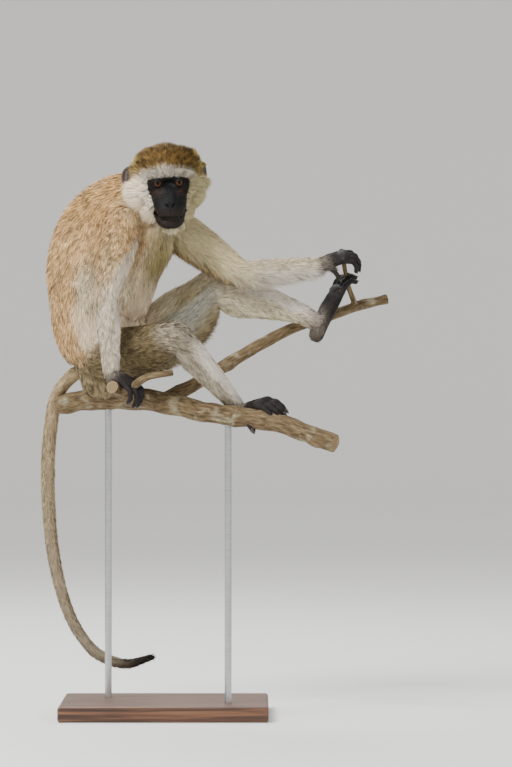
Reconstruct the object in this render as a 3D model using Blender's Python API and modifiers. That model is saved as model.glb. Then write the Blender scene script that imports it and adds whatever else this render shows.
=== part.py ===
"""An adult male vervet monkey seated on a short forked branch, held by a plain display stand.

Life size, +Z up. The origin is the centre of the stand base's underside. The animal looks towards -Y
and its body is turned towards +X, so its right side is the near one. Points and sizes are written in
millimetres and become metres where the meshes are made. The solids reach out to the tips of the coat.
"""

import math

import bmesh
import bpy
import numpy as np
from mathutils import Matrix, Vector
from mathutils.bvhtree import BVHTree

MM = 0.001
GAP = 0.3  # between solids that touch
CUT = 0.4  # thickness of the cuts that part the body

# ---- Driving dimensions, in millimetres ----

EYE_SPACING = 31.0
EYE_RADIUS = 9.5
PALM = 38.0
FINGER = 40.0
SOLE = 74.0
TOE = 38.0
BASE_SIZE = (300.0, 230.0, 22.0)
ROD_RADIUS = 5.0
LIMB_RADIUS = 16.0
ROD_SOCKET = 14.0  # how deep a rod sits in the base and in the branch
BODY_TRIANGLES = 3350
BRANCH_TRIANGLES = 850

# ---- Headings: how far each part of the body is turned, in degrees ----

PELVIS_TURN = 25.0
SHOULDER_TURN = 38.0
HEAD_TURN = 5.0
HEAD_DIP = 6.0
HEAD_TILT = 3.0


def sideways(turn):
    """The direction across the body, from its right to its left, where it is turned by that much."""
    angle = math.radians(turn)
    return Vector((math.sin(angle), math.cos(angle), 0.0))


def head_axes():
    """The head's own axes as a matrix: columns across (to its left), forward and up."""
    turn = Matrix.Rotation(math.radians(HEAD_TURN), 3, "Z")
    dip = Matrix.Rotation(math.radians(HEAD_DIP), 3, "X")
    tilt = Matrix.Rotation(math.radians(-HEAD_TILT), 3, "Y")
    facing = Matrix(((1, 0, 0), (0, -1, 0), (0, 0, 1)))
    return turn @ dip @ tilt @ facing


HEAD = head_axes()
EYES_AT = Vector((6.0, -38.0, 769.7))


def in_head(across, forward, up):
    """A point given in the head's axes, measured from the middle between the eyes."""
    return EYES_AT + HEAD @ Vector((across, forward, up))


# ---- Skeleton: where the joints lie ----

HIP = {"right": Vector((-85, 10, 524)), "left": Vector((-52, 72, 528))}
KNEE = {"right": Vector((16, -84, 550)), "left": Vector((62, 68, 625))}
ANKLE = {"right": Vector((107, -31, 442)), "left": Vector((213, 45, 574))}
SHOULDER = {"right": Vector((-60, -20, 708)), "left": Vector((19, 49, 707))}
ELBOW = {"right": Vector((-81, -88, 607)), "left": Vector((109, 12, 643))}
WRIST = {"right": Vector((-74, -86, 494)), "left": Vector((226, 27, 654))}
SKULL_BASE = Vector((-6, 14, 764))

# Centre line of the main limb of the branch, from under the rump to beyond the right foot.
LIMB = [
    (-158, 86, 450, 15.5),
    (-118, 64, 456, 16),
    (-84, 45, 458, 16),
    (-34, 18, 458, 16.5),
    (8, -6, 452, 16.5),
    (51, -31, 441, 15.5),
    (104, -60, 434, 15),
    (152, -84, 427, 14),
    (200, -110, 412, 13.5),
    (244, -134, 396, 13),
]
# The far fork, which the left foot holds, and its side twig; and the near stub under the right hand.
FAR_FORK = [
    (-6, 2, 455, 13),
    (32, 20, 474, 11),
    (72, 37, 498, 10),
    (123, 52, 529, 9.5),
    (180, 66, 560, 8.5),
    (239, 73, 580, 8),
    (288, 80, 597, 8),
    (326, 86, 606, 7.5),
]
TWIG = [(279, 79, 594, 5), (268, 62, 622, 4.2), (262, 45, 648, 4), (259, 38, 668, 3.6)]
NEAR_STUB = [(-14, 4, 453, 12.5), (-38, -34, 459, 11.5), (-58, -76, 467, 10.5), (-72, -112, 476, 10)]
NEAR_TWIG = [(-62, -86, 469, 7.5), (-44, -108, 476, 6.5), (-22, -118, 490, 5.5), (15, -121, 496, 4.5)]


# ---- Shape tools ----


def eased(stations, steps):
    """Rows between the stations on one smooth curve, as centre and radii."""
    known = [np.array([*s[0], *s[1:]], float) for s in stations]
    known = [2 * known[0] - known[1], *known, 2 * known[-1] - known[-2]]
    rows = []
    for a, b, c, d in zip(known, known[1:], known[2:], known[3:]):
        for step in range(steps):
            t = step / steps
            square = (2 * a - 5 * b + 4 * c - d) * t**2
            cube = (3 * b - a - 3 * c + d) * t**3
            rows.append(0.5 * (2 * b + (c - a) * t + square + cube))
    return [*rows, known[-2]]


def add_loft(shell, stations, across, steps=4, sides=18, round_ends=True):
    """Adds a closed tube of elliptic sections through stations of (centre, half width, half depth)."""
    rows = eased(stations, steps)
    frames = []
    for i, row in enumerate(rows):
        behind, ahead = rows[max(i - 1, 0)], rows[min(i + 1, len(rows) - 1)]
        along = Vector(ahead[:3] - behind[:3]).normalized()
        wide = (Vector(across) - along * along.dot(Vector(across))).normalized()
        frames.append((Vector(row[:3]), along, wide, along.cross(wide), row[3], row[4]))
    swell = [math.radians(a) for a in (78, 52, 26)] if round_ends else []
    placed = [capped(frames[0], -1, a) for a in swell]
    placed += frames
    placed += [capped(frames[-1], 1, a) for a in reversed(swell)]
    rings = []
    for centre, _, wide, deep, half_width, half_depth in placed:
        ring = []
        for k in range(sides):
            angle = math.tau * k / sides
            point = centre + wide * half_width * math.cos(angle) + deep * half_depth * math.sin(angle)
            ring.append(shell.verts.new(point * MM))
        rings.append(ring)
    for lower, upper in zip(rings, rings[1:]):
        for k in range(sides):
            m = (k + 1) % sides
            shell.faces.new((lower[k], lower[m], upper[m], upper[k]))
    shell.faces.new(reversed(rings[0]))
    shell.faces.new(rings[-1])


def capped(frame, side, angle):
    """The section's frame moved onto a round end, that many radians from the rim."""
    centre, along, wide, deep, half_width, half_depth = frame
    reach = side * min(half_width, half_depth) * math.sin(angle)
    shrink = math.cos(angle)
    return centre + along * reach, along, wide, deep, half_width * shrink, half_depth * shrink


def add_ball(shell, centre, radii, axes=None, sides=28, rows=18):
    """Adds an ellipsoid with its radii along the axes' columns."""
    turned = (axes or Matrix.Identity(3)).to_4x4()
    size = Matrix.Diagonal((*[r * MM for r in radii], 1))
    place = Matrix.Translation(Vector(centre) * MM) @ turned @ size
    bmesh.ops.create_uvsphere(shell, u_segments=sides, v_segments=rows, radius=1, matrix=place)


def mesh_object(name, shell, collection):
    """A mesh object made from a bmesh, which it frees."""
    bmesh.ops.recalc_face_normals(shell, faces=shell.faces)
    mesh = bpy.data.meshes.new(name)
    shell.to_mesh(mesh)
    shell.free()
    made = bpy.data.objects.new(name, mesh)
    collection.objects.link(made)
    return made


def baked(made):
    """The object with its modifiers applied."""
    graph = bpy.context.evaluated_depsgraph_get()
    graph.update()
    mesh = bpy.data.meshes.new_from_object(made.evaluated_get(graph))
    made.modifiers.clear()
    made.data = mesh
    return made


def melted(made, voxel, passes, triangles, firm=None):
    """Overlapping shells made one skin, smoothed, and thinned to about that many triangles."""
    remesh = made.modifiers.new("one_skin", "REMESH")
    remesh.mode = "VOXEL"
    remesh.voxel_size = voxel * MM
    baked(made)
    smooth = made.modifiers.new("soften", "SMOOTH")
    smooth.factor = 0.5
    smooth.iterations = passes
    if firm:
        group = made.vertex_groups.new(name="soft")
        for vertex in made.data.vertices:
            group.add([vertex.index], firm(vertex.co / MM), "REPLACE")
        smooth.vertex_group = group.name
    thin = made.modifiers.new("thin", "DECIMATE")
    thin.ratio = min(1.0, triangles / (2 * len(made.data.polygons)))
    return baked(made)


def carved(made, cutter, solver="EXACT"):
    """The object with the cutter taken out of it."""
    boolean = made.modifiers.new("carve", "BOOLEAN")
    boolean.operation = "DIFFERENCE"
    boolean.solver = solver
    boolean.object = cutter
    return baked(made)


def swollen(made, by, collection):
    """A copy of the object, thicker all over by that much, to cut a close fit."""
    copy = made.copy()
    copy.data = made.data.copy()
    collection.objects.link(copy)
    swell = copy.modifiers.new("swell", "DISPLACE")
    swell.strength = by * MM
    swell.mid_level = 0
    return baked(copy)


def principled(name, colour, roughness, metallic=0.0):
    """A plain finish."""
    material = bpy.data.materials.new(name)
    material.use_nodes = True
    shader = material.node_tree.nodes["Principled BSDF"]
    shader.inputs["Base Color"].default_value = (*colour, 1)
    shader.inputs["Roughness"].default_value = roughness
    shader.inputs["Metallic"].default_value = metallic
    return material


# ---- The animal's masses, each in the coat's outer size ----


def add_trunk(shell):
    """The hunched trunk, from the sitting pads up to the root of the neck, and the neck."""
    spine = [
        ((-84, 44, 500), 52, 50),
        ((-86, 46, 528), 64, 64),
        ((-97, 52, 565), 72, 71),
        ((-100, 52, 606), 77, 73),
        ((-98, 49, 650), 79, 80),
        ((-85, 41, 695), 72, 79),
        ((-57, 31, 731), 53, 68),
        ((-31, 23, 755), 38, 49),
        ((-8, 15, 770), 33, 40),
    ]
    add_loft(shell, spine, sideways(PELVIS_TURN + 6), sides=28)
    for side in ("right", "left"):
        add_ball(shell, HIP[side] + Vector((0, 0, -8)), (40, 35, 37))
    breast = [
        ((-12, 12, 708), 34, 26),
        ((-20, 12, 682), 36, 31),
        ((-38, 14, 648), 38, 33),
        ((-55, 20, 606), 40, 34),
    ]
    add_loft(shell, breast, sideways(SHOULDER_TURN))


def add_head(shell):
    """Brain case, brow, cheeks, muzzle and chin, with the cap of fur and the white ruff round the face."""
    across, forwards = HEAD @ Vector((1, 0, 0)), HEAD @ Vector((0, 1, 0))
    add_ball(shell, in_head(0, -40, 12), (47, 52, 46), HEAD)
    add_ball(shell, in_head(0, -26, 4), (48, 34, 40), HEAD)
    for side in (-1, 1):
        add_ball(shell, in_head(side * 20, -34, 23), (28, 34, 30), HEAD)
        add_ball(shell, in_head(side * 34, -22, -16), (24, 21, 35), HEAD)
        add_ball(shell, in_head(side * 22, -16, -40), (20, 19, 22), HEAD)
    # The hair at the temples stands out more on the left, where it folds the ear back.
    add_ball(shell, in_head(-33, -30, 14), (20, 24, 24), HEAD)
    add_ball(shell, in_head(39, -30, 20), (19, 24, 25), HEAD)
    add_ball(shell, in_head(0, -10, -52), (26, 22, 19), HEAD)
    brow = [(-29, -5, 9, 8), (-14, 3, 12, 7), (0, 4.5, 11.5, 7), (14, 3, 12, 7), (29, -5, 9, 8)]
    add_loft(shell, [(in_head(*place), radius, radius) for *place, radius in brow], forwards)
    muzzle = [
        (in_head(0, -14, -18), 31, 26),
        (in_head(0, 2, -25), 26, 22.5),
        (in_head(0, 14, -33), 22, 18.5),
        (in_head(0, 21.5, -38.5), 19.5, 14),
    ]
    add_loft(shell, muzzle, across, sides=24)
    bridge = [(0, -3, 5, 8, 8), (0, 3, -6, 7, 8), (0, 11, -17.5, 7.5, 8), (0, 22, -30.2, 9, 7)]
    add_loft(shell, [(in_head(*s[:3]), *s[3:]) for s in bridge], across)
    jaw = [(in_head(0, -12, -46), 22, 16), (in_head(0, 7, -53.5), 19, 13), (in_head(0, 18, -57), 15.5, 9.5)]
    add_loft(shell, jaw, across, sides=24)


# How far each ear points out and back, and how far its middle lies from the head's own.
EAR_SET = {"right": (0.9, 0.42), "left": (0.55, 0.83)}
EAR_AT = {"right": 53, "left": 50}


def ear(name, side, collection, cutters):
    """One small round ear, hollowed in front. side is 1 for the left ear and -1 for the right one."""
    spread, back = EAR_SET[name]
    outwards = (HEAD @ Vector((side * spread, -back, 0.05))).normalized()
    upwards = (HEAD @ Vector((side * 0.12, -0.1, 1.0))).normalized()
    upwards = (upwards - outwards * upwards.dot(outwards)).normalized()
    front = outwards.cross(upwards) * side
    axes = Matrix((outwards, upwards, front)).transposed()
    middle = in_head(side * EAR_AT[name], -32, 9)
    shell = bmesh.new()
    add_ball(shell, middle, (14.5, 17.5, 4.2), axes, 16, 9)
    hollow = bmesh.new()
    add_ball(hollow, middle + front * 4.4, (9.5, 12.5, 4.0), axes, 14, 8)
    made = mesh_object(f"ear_{name}", shell, collection)
    return carved(made, mesh_object("ear_hollow", hollow, cutters))


def add_arm(shell, side):
    """Upper arm and forearm, down to the wrist."""
    shoulder, elbow, wrist = SHOULDER[side], ELBOW[side], WRIST[side]
    across = sideways(SHOULDER_TURN)
    upper = [
        (shoulder.lerp(elbow, -0.08), 34, 34),
        (shoulder.lerp(elbow, 0.3), 31, 31),
        (shoulder.lerp(elbow, 0.7), 25, 25),
        (elbow, 20, 20),
    ]
    add_loft(shell, upper, across)
    droop = Vector((0, 0, -3))
    lower = [
        (elbow, 20, 20),
        (elbow.lerp(wrist, 0.3) + droop, 20, 22.5),
        (elbow.lerp(wrist, 0.65) + droop * 0.7, 16, 18.5),
        (wrist, 11.5, 12),
    ]
    add_loft(shell, lower, across)


# Each leg's sections: how far along its bone, how far the middle lies off the bone, half width and half
# depth. The left leg is held out, and its long hair hangs deeper below thigh and calf.
THIGHS = {
    "right": [
        (0, (0, 0, 0), 39, 43),
        (0.35, (0, 0, -9), 35, 46),
        (0.72, (0, 0, -5.4), 28, 34),
        (1, (0, 0, 0), 22.5, 24),
    ],
    "left": [
        (0, (0, 0, 0), 39, 46),
        (0.35, (3, 0, -8), 35, 50),
        (0.72, (5, 0, -11), 28, 48),
        (1, (0, 0, 0), 22.5, 25),
    ],
}
SHANKS = {
    "right": [
        (0, (0, 0, 0), 21.5, 23.5),
        (0.25, (-1, 3, 1), 21.5, 27),
        (0.55, (0, 2, 2), 17.5, 24),
        (0.85, (1, 0, 1.5), 13, 16.5),
        (1, (0, 0, 0), 12, 13.5),
    ],
    "left": [
        (0, (0, 0, 0), 21.5, 25),
        (0.25, (0, 0, -6), 21, 32.5),
        (0.46, (0, 0, 0), 19, 32),
        (0.7, (0, 0, 3), 15, 25),
        (0.88, (0, 0, 4), 12.5, 18.5),
        (1, (0, 0, 0), 12, 14.5),
    ],
}


def add_leg(shell, side):
    """Thigh and shank, down to the ankle."""
    hip, knee, ankle = HIP[side], KNEE[side], ANKLE[side]
    across = (knee - hip).cross(ankle - knee).normalized()
    for start, end, sections in ((hip, knee, THIGHS[side]), (knee, ankle, SHANKS[side])):
        stations = [(start.lerp(end, at) + Vector(off), wide, deep) for at, off, wide, deep in sections]
        add_loft(shell, stations, across, sides=24)


def add_digit(shell, base, along, back, lengths, bends, radius):
    """A jointed digit. It bends away from back, by one angle in degrees at each joint."""
    axis = along.cross(back).normalized()
    points, heading = [base.copy()], along.normalized()
    for length, bend in zip(lengths, bends):
        heading = Matrix.Rotation(math.radians(-bend), 3, axis) @ heading
        points.append(points[-1] + heading * length)
    taper = [1.12, 1.05, 0.98, 0.8]
    stations = [(p, radius * t, radius * t) for p, t in zip(points, taper)]
    add_loft(shell, stations, axis, steps=3, sides=10)


# How each hand and foot lies: the way it points, the way its back faces, how far each finger or toe
# bends at its joints in degrees, and the side its thumb is on.
HANDS = {
    "right": {
        "along": Vector((0.72, -0.5, -0.35)),
        "back": Vector((0.2, -0.35, 0.9)),
        "bends": (22, 48, 42),
        "thumb": -1,
    },
    "left": {
        "along": Vector((0.93, -0.08, 0.34)),
        "back": Vector((-0.25, -0.62, 0.75)),
        "bends": (30, 52, 30),
        "thumb": 1,
    },
}
FEET = {
    "right": {
        "heel": Vector((102, -18, 427)),
        "along": Vector((0.56, -0.74, 0.36)),
        "back": Vector((-0.2, -0.32, 0.92)),
        "bends": (34, 30, 22),
        "thumb": 1,
    },
    "left": {
        "heel": Vector((221, 47, 551)),
        "along": Vector((0.42, 0.03, 0.9)),
        "back": Vector((-0.8, -0.55, 0.28)),
        "bends": (0, 30, 48),
        "thumb": -1,
    },
}


def add_hand(shell, side):
    """Palm, four fingers and a thumb, closed round what it holds."""
    pose = HANDS[side]
    along = pose["along"].normalized()
    back = (pose["back"] - along * pose["back"].dot(along)).normalized()
    across = along.cross(back)
    wrist = WRIST[side]
    knuckles = wrist + along * PALM
    palm = [(wrist, 11, 10.5), (wrist.lerp(knuckles, 0.45), 14, 9), (knuckles, 15, 7)]
    add_loft(shell, palm, across, sides=16)
    for place, share in zip((-1.5, -0.5, 0.5, 1.5), (0.86, 1.0, 0.97, 0.8)):
        base = knuckles + across * place * 7.6 - along * abs(place) * 2
        lengths = [FINGER * share * part for part in (0.42, 0.33, 0.25)]
        add_digit(shell, base, along + across * place * 0.05, back, lengths, pose["bends"], 4.3)
    thumb = (along * 0.55 + across * pose["thumb"] * 0.7 - back * 0.5).normalized()
    root = wrist + along * PALM * 0.3 + across * pose["thumb"] * 11
    add_digit(shell, root, thumb, back, [10, 9, 7], (10, 25, 25), 4.2)


def add_foot(shell, side):
    """Heel, sole, four toes and a great toe that closes from the side."""
    pose = FEET[side]
    along = pose["along"].normalized()
    back = (pose["back"] - along * pose["back"].dot(along)).normalized()
    across = along.cross(back)
    heel = pose["heel"]
    ball = heel + along * SOLE
    sole = [
        (heel, 11, 11),
        (heel.lerp(ball, 0.3) + back * 3, 13, 13.5),
        (heel.lerp(ball, 0.65) + back * 1, 15, 11.5),
        (ball, 16.5, 8.5),
    ]
    add_loft(shell, sole, across, sides=18)
    instep = [(ANKLE[side], 12, 13), (heel.lerp(ball, 0.34) + back * 2, 12.5, 12)]
    add_loft(shell, instep, across, sides=16)
    for place, share in zip((-1.5, -0.5, 0.5, 1.5), (0.9, 1.0, 0.98, 0.84)):
        base = ball + across * place * 8.2 - along * abs(place) * 2
        lengths = [TOE * share * part for part in (0.42, 0.33, 0.25)]
        add_digit(shell, base, along + across * place * 0.05, back, lengths, pose["bends"], 4.8)
    great = (along * 0.6 + across * pose["thumb"] * 0.75 - back * 0.25).normalized()
    root = heel + along * SOLE * 0.55 + across * pose["thumb"] * 12
    add_digit(shell, root, great, back, [14, 12, 9], (15, 30, 25), 5.2)


TAIL = [
    ((-104, 60, 506), 22, 22),
    ((-136, 77, 494), 15.5, 15.5),
    ((-162, 92, 462), 13.5, 13.5),
    ((-173, 99, 404), 13, 13),
    ((-176, 102, 335), 13, 13),
    ((-172, 102, 262), 12.5, 12.5),
    ((-160, 98, 190), 12, 12),
    ((-138, 92, 128), 11.5, 11.5),
    ((-104, 86, 84), 11, 11),
    ((-62, 84, 68), 10, 10),
    ((-26, 88, 76), 7.5, 7.5),
]


def add_tail(shell):
    """The long tail: out over the branch behind the rump, down, and curled up at its end."""
    add_loft(shell, TAIL, Vector((0.3, 1, 0)), sides=16)


# ---- Parting the body ----


# How the cut at each shoulder faces, and where its middle lies from the joint.
SHOULDER_CUT = {
    "right": (Vector((-0.1, -0.98, -0.12)).normalized(), Vector((-6, -20, -20))),
    "left": (Vector((0.89, 0.12, -0.43)).normalized(), Vector((11, 2, -11))),
}
# How far from the hip each thigh is parted from the trunk, and the radius of that cut.
THIGH_CUT = {"right": (58, 60), "left": (84, 69)}
# Where the middle of the cut at each knee lies from the joint, and its radius.
KNEE_CUT = {"right": (Vector((0, 0, 0)), 62), "left": (Vector((0, 8, -17)), 68)}


def parting_planes():
    """Where the body is parted: the middle, direction and radius of each thin round cut."""
    neck = Vector((0.4, -0.52, 0.76)).normalized()
    throat = SKULL_BASE + Vector((-6, 6, -10))
    planes = [(throat, neck, 100)]
    for side in ("right", "left"):
        shoulder, elbow, wrist = SHOULDER[side], ELBOW[side], WRIST[side]
        hip, knee, ankle = HIP[side], KNEE[side], ANKLE[side]
        hand, foot = HANDS[side]["along"].normalized(), FEET[side]["along"].normalized()
        shank = (ankle - knee).normalized()
        planes.append((elbow, halfway(shoulder, elbow, wrist), 34))
        planes.append((wrist, ((wrist - elbow).normalized() + hand).normalized(), 25))
        planes.append((shoulder + SHOULDER_CUT[side][1], SHOULDER_CUT[side][0], 62))
        planes.append((knee + KNEE_CUT[side][0], halfway(hip, knee, ankle), KNEE_CUT[side][1]))
        planes.append((ankle - shank * 10, (shank + foot * 0.45).normalized(), 27))
        thigh = (knee - hip).normalized()
        planes.append((hip + thigh * THIGH_CUT[side][0], thigh, THIGH_CUT[side][1]))
    planes.append((throat - neck * 22, neck, 100))
    for station in (1, 4, 7):
        before, at, after = (Vector(TAIL[station + step][0]) for step in (-1, 0, 1))
        planes.append((at, (after - before).normalized(), 24))
    return planes


def halfway(before, at, after):
    """The direction that halves the bend at a joint."""
    return ((at - before).normalized() + (after - at).normalized()).normalized()


def add_disc(shell, centre, direction, radius):
    """A thin round slab."""
    turned = direction.to_track_quat("Z", "Y").to_matrix().to_4x4()
    place = Matrix.Translation(centre * MM) @ turned
    bmesh.ops.create_cone(
        shell,
        cap_ends=True,
        segments=40,
        radius1=radius * MM,
        radius2=radius * MM,
        depth=CUT * MM,
        matrix=place,
    )


def part_centres():
    """A point inside each named part of the body."""
    centres = {
        "head": in_head(0, -35, 10),
        "neck": SKULL_BASE + Vector((-9, 12, -19)),
        "trunk": Vector((-97, 52, 600)),
        "tail_root": Vector(TAIL[3][0]),
        "tail_middle": Vector(TAIL[6][0]),
        "tail_end": Vector(TAIL[9][0]),
    }
    for side in ("right", "left"):
        centres[f"upper_arm_{side}"] = SHOULDER[side].lerp(ELBOW[side], 0.6)
        centres[f"forearm_{side}"] = ELBOW[side].lerp(WRIST[side], 0.5)
        centres[f"hand_{side}"] = WRIST[side] + HANDS[side]["along"].normalized() * PALM * 0.6
        centres[f"thigh_{side}"] = HIP[side].lerp(KNEE[side], 0.6)
        centres[f"shank_{side}"] = KNEE[side].lerp(ANKLE[side], 0.5)
        centres[f"foot_{side}"] = FEET[side]["heel"] + FEET[side]["along"].normalized() * SOLE * 0.6
    return centres


def loose_pieces(made, collection):
    """The object split into its loose pieces, as new objects."""
    shell = bmesh.new()
    shell.from_mesh(made.data)
    bpy.data.objects.remove(made)
    pieces, left = [], set(shell.verts)
    while left:
        front = [left.pop()]
        piece = set(front)
        while front:
            for edge in front.pop().link_edges:
                for vertex in left.intersection(edge.verts):
                    left.discard(vertex)
                    piece.add(vertex)
                    front.append(vertex)
        part = bmesh.new()
        ordered = sorted(piece, key=lambda v: v.index)
        copies = {v: part.verts.new(v.co) for v in ordered}
        for face in sorted({f for v in ordered for f in v.link_faces}, key=lambda f: f.index):
            part.faces.new([copies[v] for v in face.verts])
        pieces.append(mesh_object("piece", part, collection))
    shell.free()
    return pieces


def holds(made, point):
    """True where the point, in millimetres, lies inside the closed object."""
    shell = bmesh.new()
    shell.from_mesh(made.data)
    tree = BVHTree.FromBMesh(shell)
    shell.free()
    return inside(tree, point * MM)


def parted(body, collection, cutters):
    """The body cut into its named parts. Each cut goes through the piece that holds the cut's middle."""
    pieces = [body]
    for number, (centre, direction, radius) in enumerate(parting_planes()):
        whole = next(piece for piece in pieces if holds(piece, centre))
        pieces.remove(whole)
        knife = bmesh.new()
        add_disc(knife, centre, direction, radius)
        carved(whole, mesh_object(f"knife_{number}", knife, cutters))
        pieces += loose_pieces(whole, cutters)
    named = {}
    for name, centre in part_centres().items():
        piece = next(piece for piece in pieces if holds(piece, centre))
        pieces.remove(piece)
        piece.name = name
        cutters.objects.unlink(piece)
        collection.objects.link(piece)
        named[name] = piece
    for crumb in pieces:
        bpy.data.objects.remove(crumb)
    return named


def inside(tree, point):
    """True where the point lies inside the closed surface."""
    crossings, start = 0, Vector(point)
    direction = Vector((0.31, 0.17, 0.93)).normalized()
    while True:
        place, _, _, _ = tree.ray_cast(start, direction)
        if place is None:
            return crossings % 2 == 1
        crossings += 1
        start = place + direction * 1e-6


# ---- The branch and the stand ----


def round_stations(points):
    """Stations of a round limb from (x, y, z, radius)."""
    return [((x, y, z), radius, radius) for x, y, z, radius in points]


def branch(collection):
    """The short forked branch, one piece of wood, drilled for the rods."""
    shell = bmesh.new()
    add_loft(shell, round_stations(LIMB), Vector((0.4, 0.9, 0)), sides=16, round_ends=False)
    for limb in (FAR_FORK, TWIG, NEAR_STUB, NEAR_TWIG):
        add_loft(shell, round_stations(limb), Vector((0, 0, 1)), sides=12, round_ends=False)
    made = mesh_object("perch", shell, collection)
    return melted(made, 1.6, 5, BRANCH_TRIANGLES)


def limb_at(x):
    """Centre of the main limb at that x."""
    for (x0, y0, z0, _), (x1, y1, z1, _) in zip(LIMB, LIMB[1:]):
        if x0 <= x <= x1:
            share = (x - x0) / (x1 - x0)
            return Vector((x, y0 + (y1 - y0) * share, z0 + (z1 - z0) * share))
    raise ValueError("no limb there")


RODS = {"stand_rod_back": -84, "stand_rod_front": 92}


def cylinder(name, centre, radius, low, high, collection, bevel=0.0):
    """An upright round bar between two heights."""
    shell = bmesh.new()
    place = Matrix.Translation(Vector((centre.x, centre.y, (low + high) / 2)) * MM)
    bmesh.ops.create_cone(
        shell,
        cap_ends=True,
        segments=20,
        radius1=radius * MM,
        radius2=radius * MM,
        depth=(high - low) * MM,
        matrix=place,
    )
    made = mesh_object(name, shell, collection)
    if bevel:
        rounded = made.modifiers.new("edge", "BEVEL")
        rounded.width = bevel * MM
        rounded.segments = 2
        rounded.limit_method = "ANGLE"
        baked(made)
    return made


def stand(perch, collection, cutters):
    """A flat wooden base with two upright steel rods, which end in sockets in the branch."""
    shell = bmesh.new()
    size = Matrix.Diagonal((*[s * MM for s in BASE_SIZE], 1))
    bmesh.ops.create_cube(shell, size=1, matrix=Matrix.Translation((0, 0, BASE_SIZE[2] / 2 * MM)) @ size)
    base = mesh_object("stand_base", shell, collection)
    corners = base.modifiers.new("corners", "BEVEL")
    corners.width = 4 * MM
    corners.segments = 3
    corners.limit_method = "ANGLE"
    baked(base)
    for name, x in RODS.items():
        centre = limb_at(x)
        foot = BASE_SIZE[2] - ROD_SOCKET
        top = centre.z - LIMB_RADIUS + ROD_SOCKET
        cylinder(name, centre, ROD_RADIUS, foot, top, collection, bevel=0.6)
        hole = cylinder(f"{name}_hole", centre, ROD_RADIUS + GAP, foot - GAP, BASE_SIZE[2] + 20, cutters)
        carved(base, hole)
        socket = cylinder(f"{name}_socket", centre, ROD_RADIUS + GAP, centre.z - 60, top + GAP, cutters)
        carved(perch, socket)


# ---- Putting it together ----


def softness(point):
    """How much a point of the body is smoothed: little on hands, feet and face, so that they stay crisp."""
    share = 1.0
    for side in ("right", "left"):
        hand = (point - WRIST[side] - HANDS[side]["along"] * 30).length - 48
        foot = (point - FEET[side]["heel"] - FEET[side]["along"] * 55).length - 68
        share = min(share, max(0.12, min(hand, foot) / 25))
    face = (point - in_head(0, 18, -18)).length
    return min(share, max(0.2, (face - 38) / 20))


def animal(collection, cutters, perch):
    """The whole body in one skin, then parted."""
    shell = bmesh.new()
    add_trunk(shell)
    add_head(shell)
    add_tail(shell)
    for side in ("right", "left"):
        add_arm(shell, side)
        add_leg(shell, side)
        add_hand(shell, side)
        add_foot(shell, side)
    body = melted(mesh_object("body", shell, cutters), 1.8, 30, BODY_TRIANGLES, softness)
    for name, side in (("left", 1), ("right", -1)):
        carved(ear(name, side, collection, cutters), swollen(body, GAP, cutters), "MANIFOLD")
    carved(body, swollen(perch, GAP, cutters))
    eyes = bmesh.new()
    for side in (-1, 1):
        add_ball(eyes, in_head(side * EYE_SPACING / 2, 0, 0), [EYE_RADIUS + GAP] * 3, HEAD, 14, 9)
    carved(body, mesh_object("eye_sockets", eyes, cutters))
    parts = parted(body, collection, cutters)
    for name, side in (("left", 1), ("right", -1)):
        eye = bmesh.new()
        add_ball(eye, in_head(side * EYE_SPACING / 2, 0, 0), [EYE_RADIUS] * 3, HEAD, 14, 8)
        parts[f"eye_{name}"] = mesh_object(f"eye_{name}", eye, collection)
    return parts


def main():
    for old in list(bpy.data.objects):
        bpy.data.objects.remove(old)
    scene = bpy.context.scene.collection
    kept = bpy.data.collections.new("vervet_monkey")
    cutters = bpy.data.collections.new("cutters")
    scene.children.link(kept)
    scene.children.link(cutters)
    perch = branch(kept)
    stand(perch, kept, cutters)
    parts = animal(kept, cutters, perch)
    finishes = {
        "coat": principled("coat", (0.5, 0.39, 0.26), 0.9),
        "pale_coat": principled("pale_coat", (0.56, 0.5, 0.43), 0.9),
        "dark_skin": principled("dark_skin", (0.03, 0.026, 0.026), 0.6),
        "amber": principled("amber", (0.2, 0.07, 0.02), 0.1),
        "bark": principled("bark", (0.22, 0.16, 0.11), 0.85),
        "walnut": principled("walnut", (0.16, 0.08, 0.04), 0.4),
        "steel": principled("steel", (0.6, 0.6, 0.6), 0.3, 1.0),
    }
    for name, made in {o.name: o for o in kept.objects}.items():
        made.data.materials.clear()
        made.data.materials.append(finishes[finish_of(name)])
        made.data.shade_smooth()
        made.data.set_sharp_from_angle(angle=math.radians(50))
    for cutter in cutters.objects:
        cutter.hide_render = True
        cutter.display_type = "WIRE"


def finish_of(name):
    """The finish of each node."""
    for words, finish in (
        (("eye",), "amber"),
        (("ear", "hand", "foot"), "dark_skin"),
        (("perch",), "bark"),
        (("stand_base",), "walnut"),
        (("stand_rod",), "steel"),
        (("upper_arm", "forearm", "thigh", "shank"), "pale_coat"),
    ):
        if name.startswith(words):
            return finish
    return "coat"


if __name__ == "__main__":
    main()
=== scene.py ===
import math

import bmesh
import bpy
import numpy as np
from mathutils import Matrix, Vector


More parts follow.
